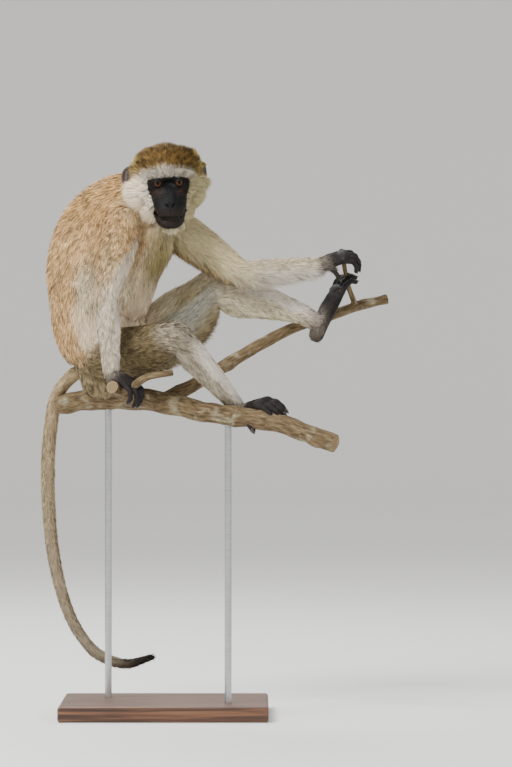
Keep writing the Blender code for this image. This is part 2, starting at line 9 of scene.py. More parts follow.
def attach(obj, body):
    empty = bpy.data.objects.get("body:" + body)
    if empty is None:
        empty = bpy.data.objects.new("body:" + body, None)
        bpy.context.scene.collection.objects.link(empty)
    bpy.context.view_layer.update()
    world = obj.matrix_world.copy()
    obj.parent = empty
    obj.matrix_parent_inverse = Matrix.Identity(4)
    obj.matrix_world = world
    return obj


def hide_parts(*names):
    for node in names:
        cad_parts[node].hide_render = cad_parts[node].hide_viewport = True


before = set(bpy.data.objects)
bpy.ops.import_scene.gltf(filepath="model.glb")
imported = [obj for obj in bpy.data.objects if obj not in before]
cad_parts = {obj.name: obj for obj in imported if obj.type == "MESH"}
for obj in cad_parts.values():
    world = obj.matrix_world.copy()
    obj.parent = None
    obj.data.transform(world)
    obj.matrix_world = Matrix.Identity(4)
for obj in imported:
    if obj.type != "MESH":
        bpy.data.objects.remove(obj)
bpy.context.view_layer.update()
world = bpy.context.scene.collection
MM = 0.001


# ---- The branch: a dry forked limb, cut to a short length ----
# Grey-brown bark, lumpy where twigs broke off, furrowed along the grain, with pale sawn ends. Two rods
# carry it from below.


def linear(code):
    """An sRGB hex colour as linear red, green and blue."""
    parts = [int(code[i : i + 2], 16) / 255 for i in (1, 3, 5)]
    return tuple(p / 12.92 if p <= 0.04045 else ((p + 0.055) / 1.055) ** 2.4 for p in parts)


def add(material, kind, values=(), stops=(), **settings):
    """Adds a node to a material. Values go to its inputs: a socket is linked, anything else is set. Stops
    are a colour ramp's places, each with its sRGB hex colour."""
    tree = material.node_tree
    node = tree.nodes.new(kind)
    for name, value in settings.items():
        setattr(node, name, value)
    for name, value in dict(values).items():
        if isinstance(value, bpy.types.NodeSocket):
            tree.links.new(value, node.inputs[name])
        else:
            node.inputs[name].default_value = value
    if stops:
        marks = node.color_ramp.elements
        while len(marks) < len(stops):
            marks.new(0.5)
        for mark, (place, code) in zip(marks, stops):
            mark.position = place
            mark.color = (*linear(code), 1)
    return node


def blank(name):
    """An empty material."""
    material = bpy.data.materials.new(name)
    material.use_nodes = True
    material.node_tree.nodes.clear()
    return material


def ripple(points, size, seed, waves=14):
    """A smooth uneven field over the points, about -1 to 1, with lumps of about that many millimetres."""
    rng = np.random.default_rng(seed)
    ways = rng.normal(size=(waves, 3))
    ways *= (math.tau / (size * rng.uniform(1.1, 2.4, waves)) / np.linalg.norm(ways, axis=1))[:, None]
    phases = rng.uniform(0, math.tau, waves)
    return np.sin(points @ ways.T + phases).sum(1) * math.sqrt(2 / waves) * 0.6


def eased(stations, steps):
    """Rows between the stations on one smooth curve, as centre and radii."""
    known = [np.array([*s[0], *s[1:]], float) for s in stations]
    known = [2 * known[0] - known[1], *known, 2 * known[-1] - known[-2]]
    rows = []
    for a, b, c, d in zip(known, known[1:], known[2:], known[3:]):
        for step in range(steps):
            t = step / steps
            square = (2 * a - 5 * b + 4 * c - d) * t**2
            cube = (3 * b - a - 3 * c + d) * t**3
            rows.append(0.5 * (2 * b + (c - a) * t + square + cube))
    return [*rows, known[-2]]


def add_loft(shell, stations, across, steps=5, sides=24, round_ends=True):
    """Adds a closed tube of elliptic sections through stations of (centre, half width, half depth)."""
    rows = eased(stations, steps)
    frames = []
    for i, row in enumerate(rows):
        behind, ahead = rows[max(i - 1, 0)], rows[min(i + 1, len(rows) - 1)]
        along = Vector(ahead[:3] - behind[:3]).normalized()
        wide = (Vector(across) - along * along.dot(Vector(across))).normalized()
        frames.append((Vector(row[:3]), along, wide, along.cross(wide), row[3], row[4]))
    swell = [math.radians(a) for a in (78, 52, 26)] if round_ends else []
    placed = [capped(frames[0], -1, a) for a in swell]
    placed += frames
    placed += [capped(frames[-1], 1, a) for a in reversed(swell)]
    rings = []
    for centre, _, wide, deep, half_width, half_depth in placed:
        ring = []
        for k in range(sides):
            angle = math.tau * k / sides
            point = centre + wide * half_width * math.cos(angle) + deep * half_depth * math.sin(angle)
            ring.append(shell.verts.new(point * MM))
        rings.append(ring)
    for lower, upper in zip(rings, rings[1:]):
        for k in range(sides):
            m = (k + 1) % sides
            shell.faces.new((lower[k], lower[m], upper[m], upper[k]))
    shell.faces.new(reversed(rings[0]))
    shell.faces.new(rings[-1])


def capped(frame_at, side, angle):
    """The section's frame moved onto a round end, that many radians from the rim."""
    centre, along, wide, deep, half_width, half_depth = frame_at
    reach = side * min(half_width, half_depth) * math.sin(angle)
    shrink = math.cos(angle)
    return centre + along * reach, along, wide, deep, half_width * shrink, half_depth * shrink


def mesh_object(name, shell):
    """A mesh object made from a bmesh, which it frees."""
    bmesh.ops.recalc_face_normals(shell, faces=shell.faces)
    mesh = bpy.data.meshes.new(name)
    shell.to_mesh(mesh)
    shell.free()
    made = bpy.data.objects.new(name, mesh)
    world.objects.link(made)
    return made


def baked(made):
    """The object with its modifiers applied."""
    graph = bpy.context.evaluated_depsgraph_get()
    graph.update()
    mesh = bpy.data.meshes.new_from_object(made.evaluated_get(graph))
    made.modifiers.clear()
    made.data = mesh
    return made


def points_of(mesh, field="co"):
    """The mesh's vertices, or their normals, as rows of numbers."""
    rows = np.empty(len(mesh.vertices) * 3, np.float32)
    if field == "co":
        mesh.vertices.foreach_get("co", rows)
    else:
        mesh.vertex_normals.foreach_get("vector", rows)
    return rows.reshape(-1, 3).astype(float)


def set_points(mesh, rows):
    """Moves the mesh's vertices to those places."""
    mesh.vertices.foreach_set("co", rows.astype(np.float32).ravel())
    mesh.update()


def store(mesh, name, rows):
    """Keeps a number, a vector or a colour for each vertex, for the material to read."""
    kinds = {1: ("FLOAT", "value"), 3: ("FLOAT_VECTOR", "vector"), 4: ("FLOAT_COLOR", "color")}
    rows = np.asarray(rows, np.float32)
    kind, key = kinds[1 if rows.ndim == 1 else rows.shape[1]]
    mesh.attributes.new(name, kind, "POINT").data.foreach_set(key, rows.ravel())


def nearest_on(line, points):
    """For each point, the closest place on a line of (x, y, z, radius), as columns: the gap from its
    surface, how far along it is, its centre, its radius and the way the line runs there."""
    line = np.array(line, float)
    ends = line[1:, :3] - line[:-1, :3]
    spans = np.linalg.norm(ends, axis=1)
    starts = np.concatenate([[0], np.cumsum(spans)])
    best = None
    for i, (a, step, span) in enumerate(zip(line, ends, spans)):
        t = np.clip((points - a[:3]) @ step / span**2, 0, 1)
        centre = a[:3] + t[:, None] * step
        radius = a[3] + t * (line[i + 1, 3] - a[3])
        gap = np.linalg.norm(points - centre, axis=1) - radius
        heading = np.tile(step / span, (len(t), 1))
        found = np.column_stack([gap, starts[i] + t * span, centre, radius, heading])
        best = found if best is None else np.where(found[:, :1] < best[:, :1], found, best)
    return best


# Each limb's middle line in millimetres, with its radius.
LIMB = [
    (-158, 86, 450, 15.5),
    (-118, 64, 456, 16),
    (-84, 45, 458, 16),
    (-34, 18, 458, 16.5),
    (8, -6, 452, 16.5),
    (51, -31, 441, 15.5),
    (104, -60, 434, 15),
    (152, -84, 427, 14),
    (200, -110, 412, 13.5),
    (244, -134, 396, 13),
]
FAR_FORK = [
    (-6, 2, 455, 13),
    (32, 20, 474, 11),
    (72, 37, 498, 10),
    (123, 52, 529, 9.5),
    (180, 66, 560, 8.5),
    (239, 73, 580, 8),
    (288, 80, 597, 8),
    (326, 86, 606, 7.5),
]
TWIG = [(279, 79, 594, 5), (268, 62, 622, 4.2), (262, 45, 648, 4), (259, 38, 668, 3.6)]
NEAR_STUB = [(-14, 4, 453, 12.5), (-38, -34, 459, 11.5), (-58, -76, 467, 10.5), (-72, -112, 476, 10)]
NEAR_TWIG = [(-62, -86, 469, 7.5), (-44, -108, 476, 6.5), (-22, -118, 490, 5.5), (15, -121, 496, 4.5)]
LIMBS = (LIMB, FAR_FORK, TWIG, NEAR_STUB, NEAR_TWIG)
# The wood is this much thinner than the limb, to leave room for the ridges of its bark.
BARK = 0.3
# Where the two rods enter from below, and how many triangles the branch is thinned to.
RODS = ((-84, 45), (92, -53.4))
BRANCH_FACES = 60000
# Scars where twigs broke off: place on the limb's surface, and how wide and high each one stands.
KNOTS = [
    ((140, -90, 437), 9, 5.0),
    ((172, -103, 430), 10, 5.5),
    ((30, -34, 452), 9, 3.5),
    ((-112, 52, 470), 9, 3.0),
    ((212, -122, 396), 9, 4.0),
    ((96, 38, 506), 7, 2.6),
    ((196, 62, 572), 7, 2.6),
    ((-50, -70, 474), 7, 2.2),
]


def branch():
    """The limb, its far fork and twig and the near stub, grown into one, with its bark raised."""
    shell = bmesh.new()
    for limb in LIMBS:
        rounds = [((x, y, z), radius - BARK, radius - BARK) for x, y, z, radius in limb]
        add_loft(shell, rounds, Vector((0.4, 0.9, 0.2)), round_ends=False)
    made = mesh_object("branch", shell)
    remesh = made.modifiers.new("one_wood", "REMESH")
    remesh.mode = "VOXEL"
    remesh.voxel_size = 1.35 * MM
    soft = made.modifiers.new("soften", "SMOOTH")
    soft.iterations = 4
    baked(made)
    points = points_of(made.data) / MM
    normals = points_of(made.data, "normal")
    parts = np.stack([nearest_on(limb, points) for limb in LIMBS])
    closest = np.argmin(parts[:, :, 0], 0)
    chosen = parts[closest, np.arange(len(points))]
    along, centre, radius, heading = chosen[:, 1], chosen[:, 2:5], chosen[:, 5], chosen[:, 6:9]
    from_line = points - centre
    # The grain runs along each limb: the same lump pattern, drawn out five times along it.
    grain = from_line + heading * (along * 0.2)[:, None] + closest[:, None] * 37.0
    ends = np.concatenate([np.array(limb)[[0, -1], :3] for limb in LIMBS])
    face = np.abs((normals * heading).sum(1))
    near_end = np.min(np.linalg.norm(points[:, None] - ends[None], axis=2), 1) < 19
    sawn = np.where(near_end, np.clip((face - 0.8) / 0.12, 0, 1), 0)
    lumps = 0.9 * ripple(points, 20, 3) + 0.45 * ripple(grain, 5, 4) - 0.5 * np.abs(ripple(grain, 3.2, 5))
    raised = np.clip(lumps * (radius / 15), -1.6, 1.2)
    for place, wide, high in KNOTS:
        near = np.linalg.norm(points - np.array(place), axis=1)
        raised = raised + high * np.exp(-((near / wide) ** 2))
        raised = raised - 0.6 * high * np.exp(-((near / (wide * 0.35)) ** 2))
    # The wood stays as it is round the places where the rods meet it from below.
    held = np.ones(len(points))
    for rod_x, rod_y in RODS:
        near = np.clip((np.hypot(points[:, 0] - rod_x, points[:, 1] - rod_y) - 6) / 6, 0, 1)
        held = np.where(points[:, 2] < centre[:, 2], np.minimum(held, near), held)
    points = points + normals * (raised * (1 - sawn) * held)[:, None]
    set_points(made.data, points * MM)
    store(made.data, "grain", grain * MM)
    store(made.data, "from_heart", np.linalg.norm(from_line, axis=1) * MM)
    store(made.data, "sawn", sawn)
    thin = made.modifiers.new("thin", "DECIMATE")
    thin.ratio = min(1.0, BRANCH_FACES / (2 * len(made.data.polygons)))
    baked(made)
    made.data.shade_smooth()
    return made


def weathered_bark():
    """Dry acacia bark: grey-brown, ridged along the grain every 3 to 6 mm, dull, with pale dry lichen."""
    bark = blank("weathered_bark")
    place = add(bark, "ShaderNodeTexCoord").outputs["Object"]
    grain = add(bark, "ShaderNodeAttribute", attribute_name="grain").outputs["Vector"]
    sawn = add(bark, "ShaderNodeAttribute", attribute_name="sawn").outputs["Fac"]
    ridges = add(bark, "ShaderNodeTexNoise", {"Vector": grain, "Scale": 320.0, "Detail": 5.0}).outputs["Fac"]
    patches = add(bark, "ShaderNodeTexNoise", {"Vector": place, "Scale": 38.0, "Detail": 4.0}).outputs["Fac"]
    tones = [(0.28, "#3a2f20"), (0.45, "#5c4c35"), (0.6, "#705f45"), (0.75, "#867659")]
    wood = add(bark, "ShaderNodeValToRGB", {"Fac": ridges}, tones).outputs["Color"]
    tones = [(0.3, "#6d654c"), (0.7, "#b3ab90")]
    lichen = add(bark, "ShaderNodeValToRGB", {"Fac": ridges}, tones).outputs["Color"]
    spread = {"Value": patches, "From Min": 0.55, "From Max": 0.68, "To Max": 0.7}
    where = add(bark, "ShaderNodeMapRange", spread).outputs[0]
    outside = add(bark, "ShaderNodeMix", {0: where, 6: wood, 7: lichen}, data_type="RGBA").outputs[2]
    # Growth rings 1.6 mm apart round the heart of each sawn end, a little uneven.
    heart = add(bark, "ShaderNodeAttribute", attribute_name="from_heart").outputs["Fac"]
    wavy = add(bark, "ShaderNodeMath", {0: patches, 1: 0.004, 2: heart}, operation="MULTIPLY_ADD").outputs[0]
    turns = add(bark, "ShaderNodeMath", {0: wavy, 1: math.tau / 0.0016}, operation="MULTIPLY").outputs[0]
    rings = add(bark, "ShaderNodeMath", {0: turns}, operation="SINE").outputs[0]
    tones = [(0.0, "#7d6a4d"), (0.9, "#a08c69")]
    cut = add(bark, "ShaderNodeValToRGB", {"Fac": rings}, tones).outputs["Color"]
    colour = add(bark, "ShaderNodeMix", {0: sawn, 6: outside, 7: cut}, data_type="RGBA").outputs[2]
    fine = add(bark, "ShaderNodeTexNoise", {"Vector": grain, "Scale": 900.0, "Detail": 4.0}).outputs["Fac"]
    both = add(bark, "ShaderNodeMath", {0: ridges, 1: fine}, operation="ADD").outputs[0]
    bump = add(bark, "ShaderNodeBump", {"Height": both, "Strength": 0.55, "Distance": 0.001}).outputs[0]
    surface = {"Base Color": colour, "Normal": bump, "Roughness": 0.88, "Specular IOR Level": 0.25}
    shader = add(bark, "ShaderNodeBsdfPrincipled", surface)
    add(bark, "ShaderNodeOutputMaterial", {"Surface": shader.outputs[0]})
    return bark


limb_wood = branch()
limb_wood.data.materials.append(weathered_bark())
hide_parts("perch")
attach(limb_wood, "root")


# ---- The display stand: a walnut base and two steel rods ----
# The base is one oiled board with its grain along its length. The rods are ground steel, set upright
# between the board and the limb.


def oiled_walnut():
    """Planed and oiled walnut: dark brown, grain bands 4 to 6 mm wide along the board, a low satin gloss."""
    walnut = blank("oiled_walnut")
    place = add(walnut, "ShaderNodeTexCoord").outputs["Object"]
    drawn = add(walnut, "ShaderNodeMapping", {"Vector": place, "Scale": (3.0, 90.0, 90.0)}).outputs[0]
    bands = {"Vector": drawn, "Scale": 2.2, "Detail": 6.0, "Distortion": 0.4}
    bands = add(walnut, "ShaderNodeTexNoise", bands).outputs["Fac"]
    pores = add(walnut, "ShaderNodeMapping", {"Vector": place, "Scale": (40.0, 900.0, 900.0)}).outputs[0]
    pits = add(walnut, "ShaderNodeTexNoise", {"Vector": pores, "Scale": 1.4, "Detail": 2.0}).outputs["Fac"]
    tones = [(0.3, "#2c1a10"), (0.46, "#4b3020"), (0.58, "#6a4630"), (0.75, "#7d5739")]
    wood = add(walnut, "ShaderNodeValToRGB", {"Fac": bands}, tones).outputs["Color"]
    bump = add(walnut, "ShaderNodeBump", {"Height": pits, "Strength": 0.25, "Distance": 0.0003}).outputs[0]
    surface = {"Base Color": wood, "Normal": bump, "Roughness": 0.42}
    shader = add(walnut, "ShaderNodeBsdfPrincipled", surface)
    add(walnut, "ShaderNodeOutputMaterial", {"Surface": shader.outputs[0]})
    return walnut


def ground_steel():
    """Ground steel bar: neutral grey metal with fine marks round the bar, 0.3 to 0.5 mm apart."""
    steel = blank("ground_steel")
    place = add(steel, "ShaderNodeTexCoord").outputs["Object"]
    drawn = add(steel, "ShaderNodeMapping", {"Vector": place, "Scale": (60.0, 60.0, 2600.0)}).outputs[0]
    marks = add(steel, "ShaderNodeTexNoise", {"Vector": drawn, "Scale": 1.0, "Detail": 2.0}).outputs["Fac"]
    rough = add(steel, "ShaderNodeMapRange", {"Value": marks, "To Min": 0.24, "To Max": 0.4}).outputs[0]
    tones = [(0.3, "#a9abad"), (0.7, "#c6c7c8")]
    tone = add(steel, "ShaderNodeValToRGB", {"Fac": marks}, tones).outputs["Color"]
    bump = add(steel, "ShaderNodeBump", {"Height": marks, "Strength": 0.1, "Distance": 0.0001}).outputs[0]
    surface = {"Base Color": tone, "Roughness": rough, "Normal": bump, "Metallic": 1.0}
    shader = add(steel, "ShaderNodeBsdfPrincipled", surface)
    add(steel, "ShaderNodeOutputMaterial", {"Surface": shader.outputs[0]})
    return steel


finishes = {"stand_base": oiled_walnut(), "stand_rod_back": ground_steel()}
finishes["stand_rod_front"] = finishes["stand_rod_back"]
for node, finish in finishes.items():
    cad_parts[node].data.materials.clear()
    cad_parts[node].data.materials.append(finish)


# ---- The skin: the whole animal in one piece, without its coat ----
# The body's masses, thinner than the model's outside by the depth of the coat over each of them,
# grown into one skin. The face, ears, palms and soles are bare; the rest lies under the fur.

# Turns in degrees, and lengths and places in millimetres.
PELVIS_TURN, SHOULDER_TURN, HEAD_TURN, HEAD_DIP, HEAD_TILT = 25.0, 38.0, 5.0, 6.0, 3.0
EYE_SPACING, EYE_RADIUS = 31.0, 9.5
PALM, FINGER, SOLE, TOE = 38.0, 40.0, 74.0, 38.0
# The middle between the eyes, and the head's own axes there: across, forward and up.
EYES_AT = Vector((6.0, -38.0, 769.7))
HEAD = (
    Matrix.Rotation(math.radians(HEAD_TURN), 3, "Z")
    @ Matrix.Rotation(math.radians(HEAD_DIP), 3, "X")
    @ Matrix.Rotation(math.radians(-HEAD_TILT), 3, "Y")
    @ Matrix(((1, 0, 0), (0, -1, 0), (0, 0, 1)))
)
HIP = {"right": Vector((-85, 10, 524)), "left": Vector((-52, 72, 528))}
KNEE = {"right": Vector((16, -84, 550)), "left": Vector((62, 68, 625))}
ANKLE = {"right": Vector((107, -31, 442)), "left": Vector((213, 45, 574))}
SHOULDER = {"right": Vector((-60, -20, 708)), "left": Vector((19, 49, 707))}
ELBOW = {"right": Vector((-81, -88, 607)), "left": Vector((109, 12, 643))}
WRIST = {"right": Vector((-74, -86, 494)), "left": Vector((226, 27, 654))}
SIDES = {"right": -1, "left": 1}
# The way each palm or sole runs, the way its back faces, the bends of its digits in degrees at each
# joint, and the side that its thumb or great toe is on.
HANDS = {
    "right": ((0.72, -0.5, -0.35), (0.2, -0.35, 0.9), (22, 48, 42), -1),
    "left": ((0.93, -0.08, 0.34), (-0.25, -0.62, 0.75), (30, 52, 30), 1),
}
FEET = {
    "right": ((0.56, -0.74, 0.36), (-0.2, -0.32, 0.92), (34, 30, 22), 1),
    "left": ((0.42, 0.03, 0.9), (-0.8, -0.55, 0.28), (0, 30, 48), -1),
}
HEEL = {"right": Vector((102, -18, 427)), "left": Vector((221, 47, 551))}
# The trunk from rump to neck: places on its middle line, with half width and half depth.
SPINE = [
    ((-84, 44, 500), 52, 50),
    ((-86, 46, 528), 64, 64),
    ((-97, 52, 565), 72, 71),
    ((-100, 52, 606), 77, 73),
    ((-98, 49, 650), 79, 80),
    ((-85, 41, 695), 72, 79),
    ((-57, 31, 731), 53, 68),
    ((-31, 23, 755), 38, 49),
    ((-8, 15, 770), 33, 40),
]
TAIL = [
    ((-104, 60, 506), 22),
    ((-136, 77, 494), 15.5),
    ((-162, 92, 462), 13.5),
    ((-173, 99, 404), 13),
    ((-176, 102, 335), 13),
    ((-172, 102, 262), 12.5),
    ((-160, 98, 190), 12),
    ((-138, 92, 128), 11.5),
    ((-104, 86, 84), 11),
    ((-62, 84, 68), 10),
    ((-26, 88, 76), 7.5),
]
EAR_AT = {"right": 53, "left": 50}
# The coat's depth over each part.
DEPTH = {"trunk": 7, "crown": 9, "cheek": 12, "chin": 8, "arm": 5.5, "leg": 5.5, "wrist": 2.5, "tail": 4.5}
# Each digit's tip as it is added, for its nail: place, heading, axis of bending and radius.
digit_tips = []
# The nostril's middle beside and below the middle between the eyes, and the height of the mouth.
NOSTRIL_ACROSS, NOSTRIL_UP, MOUTH_UP = 4.3, -31.2, -47.5


def in_head(across, forward, up):
    """A point given in the head's axes, measured from the middle between the eyes."""
    return EYES_AT + HEAD @ Vector((across, forward, up))


def sideways(turn):
    """The direction across the body, from its right to its left, where it is turned by that much."""
    angle = math.radians(turn)
    return Vector((math.sin(angle), math.cos(angle), 0.0))


def add_ball(shell, centre, radii, axes=None, sides=32, rows=20):
    """Adds an ellipsoid with its radii along the axes' columns."""
    turned = (axes or Matrix.Identity(3)).to_4x4()
    size = Matrix.Diagonal((*[r * MM for r in radii], 1))
    place = Matrix.Translation(Vector(centre) * MM) @ turned @ size
    bmesh.ops.create_uvsphere(shell, u_segments=sides, v_segments=rows, radius=1, matrix=place)


def slim(stations, *depths):
    """The stations with their radii less by the coat's depth, which runs through the given values."""
    shares = np.interp(np.linspace(0, 1, len(stations)), np.linspace(0, 1, len(depths)), depths)
    return [(place, wide - less, deep - less) for (place, wide, deep), less in zip(stations, shares)]


def add_digit(shell, base, along, back, lengths, bends, radius):
    """A jointed finger or toe. It bends away from back, by one angle in degrees at each joint."""
    axis = along.cross(back).normalized()
    points, heading = [base.copy()], along.normalized()
    for length, bend in zip(lengths, bends):
        heading = Matrix.Rotation(math.radians(-bend), 3, axis) @ heading
        points.append(points[-1] + heading * length)
    # Each joint is a little thicker than the bone between, and the tip ends in a soft pad.
    stations = []
    for i, (point, share) in enumerate(zip(points, (1.1, 1.03, 0.97, 0.82))):
        stations.append((point, radius * share, radius * share))
        if i < 3:
            stations.append((point.lerp(points[i + 1], 0.5), radius * share * 0.94, radius * share * 0.9))
    add_loft(shell, stations, axis, steps=3, sides=14)
    digit_tips.append((points[-1], heading, axis, radius * 0.86))


def palm_axes(along, back):
    """The directions along a palm or sole, out of its back, and across it, all square to each other."""
    along = Vector(along).normalized()
    back = (Vector(back) - along * Vector(back).dot(along)).normalized()
    return along, back, along.cross(back)


def add_four_digits(shell, start, axes, bends, gap, length, shares, knuckle, radius):
    """Four fingers or toes side by side, each with a round knuckle. Shares are of the longest."""
    along, back, across = axes
    for place, share in zip((-1.5, -0.5, 0.5, 1.5), shares):
        base = start + across * place * gap - along * abs(place) * 2
        add_ball(shell, base + back * 1.2, (knuckle, knuckle, knuckle), sides=16, rows=10)
        lengths = [length * share * part for part in (0.42, 0.33, 0.25)]
        add_digit(shell, base, along + across * place * 0.05, back, lengths, bends, radius)


def add_hand(shell, side):
    """Palm, four fingers and a thumb, closed round what the hand holds."""
    run, facing, bends, thumb_side = HANDS[side]
    along, back, across = axes = palm_axes(run, facing)
    wrist = WRIST[side]
    knuckles = wrist + along * PALM
    palm = [(wrist, 10, 9.5), (wrist.lerp(knuckles, 0.45), 13.4, 8.4), (knuckles, 14.4, 6.5)]
    add_loft(shell, palm, across)
    add_four_digits(shell, knuckles, axes, bends, 7.6, FINGER, (0.86, 1.0, 0.97, 0.8), 4.4, 3.7)
    thumb = (along * 0.55 + across * thumb_side * 0.7 - back * 0.5).normalized()
    root = wrist + along * PALM * 0.3 + across * thumb_side * 11
    add_digit(shell, root, thumb, back, [10, 9, 7], (10, 25, 25), 3.8)


def add_foot(shell, side):
    """Heel, sole, four toes and a great toe that closes from the side."""
    run, facing, bends, thumb_side = FEET[side]
    along, back, across = axes = palm_axes(run, facing)
    heel = HEEL[side]
    ball = heel + along * SOLE
    sole = [
        (heel, 10.2, 10.2),
        (heel.lerp(ball, 0.3) + back * 3, 12, 12.5),
        (heel.lerp(ball, 0.65) + back * 1, 14.3, 10.8),
        (ball, 15.9, 7.9),
    ]
    add_loft(shell, sole, across)
    add_loft(shell, [(ANKLE[side], 9.5, 10.5), (heel.lerp(ball, 0.34) + back * 2, 11.5, 11)], across)
    add_four_digits(shell, ball, axes, bends, 8.2, TOE, (0.9, 1.0, 0.98, 0.84), 4.9, 4.15)
    great = (along * 0.6 + across * thumb_side * 0.75 - back * 0.25).normalized()
    root = heel + along * SOLE * 0.55 + across * thumb_side * 12
    add_digit(shell, root, great, back, [14, 12, 9], (15, 30, 25), 4.8)


# Each leg's sections: how far along its bone, how far the middle lies off the bone, half width and half
# depth. The left leg is held out, and its long hair hangs deeper below thigh and calf.
THIGHS = {
    "right": [
        (0, (0, 0, 0), 39, 43),
        (0.35, (0, 0, -9), 35, 46),
        (0.72, (0, 0, -5.4), 28, 34),
        (1, (0, 0, 0), 22.5, 24),
    ],
    "left": [
        (0, (0, 0, 0), 39, 46),
        (0.35, (3, 0, -8), 35, 50),
        (0.72, (5, 0, -9), 28, 44),
        (1, (0, 0, 0), 22.5, 25),
    ],
}
SHANKS = {
    "right": [
        (0, (0, 0, 0), 21.5, 23.5),
        (0.25, (-1, 3, 1), 21.5, 27),
        (0.55, (0, 2, 2), 17.5, 24),
        (0.85, (1, 0, 1.5), 13, 16.5),
        (1, (0, 0, 0), 12, 13.5),
    ],
    "left": [
        (0, (0, 0, 0), 21.5, 25),
        (0.25, (0, 0, -4), 21, 31),
        (0.46, (0, 0, 1.5), 19, 30),
        (0.7, (0, 0, 4), 15, 23),
        (0.88, (0, 0, 4), 12.5, 17.5),
        (1, (0, 0, 0), 12, 14.5),
    ],
}


def add_head_loft(shell, rows, across, **settings):
    """Adds a tube through rows of a place in the head's axes, half width and half depth."""
    add_loft(shell, [(in_head(*row[:3]), *row[3:]) for row in rows], across, **settings)


def add_head(shell):
    """Brain case, brow, cheeks, muzzle, nose and jaw."""
    across, forwards = HEAD @ Vector((1, 0, 0)), HEAD @ Vector((0, 1, 0))
    crown, cheek, chin = DEPTH["crown"], DEPTH["cheek"], DEPTH["chin"]
    add_ball(shell, in_head(0, -40, 12), (47 - crown, 52 - crown, 46 - crown), HEAD)
    add_ball(shell, in_head(0, -26, 4), (48 - crown, 28, 40 - crown), HEAD)
    for side in (-1, 1):
        add_ball(shell, in_head(side * 20, -34, 23), (28 - crown, 34 - crown, 30 - crown), HEAD)
        wide, low = (34, -16) if side < 0 else (31, -12)
        add_ball(shell, in_head(side * wide, -22, low), (24 - cheek, 21 - cheek, low + 51 - cheek), HEAD)
        add_ball(shell, in_head(side * 22, -16, -40), (20 - chin, 19 - chin, 22 - chin), HEAD)
        add_ball(shell, in_head(side * 16, -3.5, -0.5), (13.5, 12.5, 12), HEAD)
        add_ball(shell, in_head(side * 22, -12, -7), (12.5, 13, 17), HEAD)
        add_ball(shell, in_head(side * 38, -33, 6), (10, 8, 11), HEAD)
    add_ball(shell, in_head(-33, -30, 14), (11, 14, 14), HEAD)
    add_ball(shell, in_head(34, -30, 26), (13, 15, 14), HEAD)
    add_ball(shell, in_head(0, -10, -52), (26 - chin, 22 - chin, 19 - chin), HEAD)
    brow = [(-29, -6, 6.5, 6.2, 6.2), (-14, 2.2, 9, 6, 6), (0, 3.5, 8.5, 6.2, 6.2)]
    brow += [(14, 2.2, 9, 6, 6), (29, -6, 6.5, 6.2, 6.2)]
    add_head_loft(shell, brow, forwards)
    muzzle = [(0, -14, -18, 30.2, 25.2), (0, 2, -25, 26.2, 21.9), (0, 14, -33, 23.2, 18.1)]
    muzzle += [(0, 21.5, -38.5, 20.4, 13.6)]
    add_head_loft(shell, muzzle, across, sides=40)
    bridge = [(0, -3, 5, 7.5, 7.5), (0, 3, -6, 6.4, 7.5), (0, 11, -17.5, 6.8, 7.5), (0, 22, -30.2, 8.2, 6.5)]
    add_head_loft(shell, bridge, across)
    jaw = [(0, -12, -46, 22.5, 15.2), (0, 7, -53.5, 20.2, 12.5), (0, 18, -57, 16.2, 9.2)]
    add_head_loft(shell, jaw, across, sides=40)


def ear_middle(side):
    """The middle of an ear."""
    return in_head(SIDES[side] * EAR_AT[side], -32, 9)


def add_ear(shell, side):
    """One small round ear: a thin cup with a rolled rim and a little flap in front."""
    # The left ear is folded back under the hair of the temple.
    spread, back = (0.55, 0.83) if side == "left" else (0.9, 0.42)
    outwards = (HEAD @ Vector((SIDES[side] * spread, -back, 0.05))).normalized()
    upwards = (HEAD @ Vector((SIDES[side] * 0.12, -0.1, 1.0))).normalized()
    upwards = (upwards - outwards * upwards.dot(outwards)).normalized()
    front = outwards.cross(upwards) * SIDES[side]
    axes = Matrix((outwards, upwards, front)).transposed()
    middle = ear_middle(side)
    add_ball(shell, middle - front * 1.9, (12.6, 15.6, 1.9), axes)
    rim = []
    for step in range(15):
        angle = math.radians(-95 + 15 * step)
        reach = outwards * 12.2 * math.cos(angle) + upwards * 15.2 * math.sin(angle)
        rim.append((middle + reach + front * 0.9, 1.8, 1.8))
    add_loft(shell, rim, front, steps=2, sides=10)
    inner = [middle + outwards * 5 + upwards * y + front * (0.6 - abs(y) * 0.06) for y in (-8, -3, 3, 8)]
    add_loft(shell, [(place, 1.5, 1.5) for place in inner], front, steps=2, sides=10)
    add_ball(shell, middle - outwards * 6 - upwards * 4 + front * 1.5, (3.2, 4.2, 2.4), axes, 16, 10)


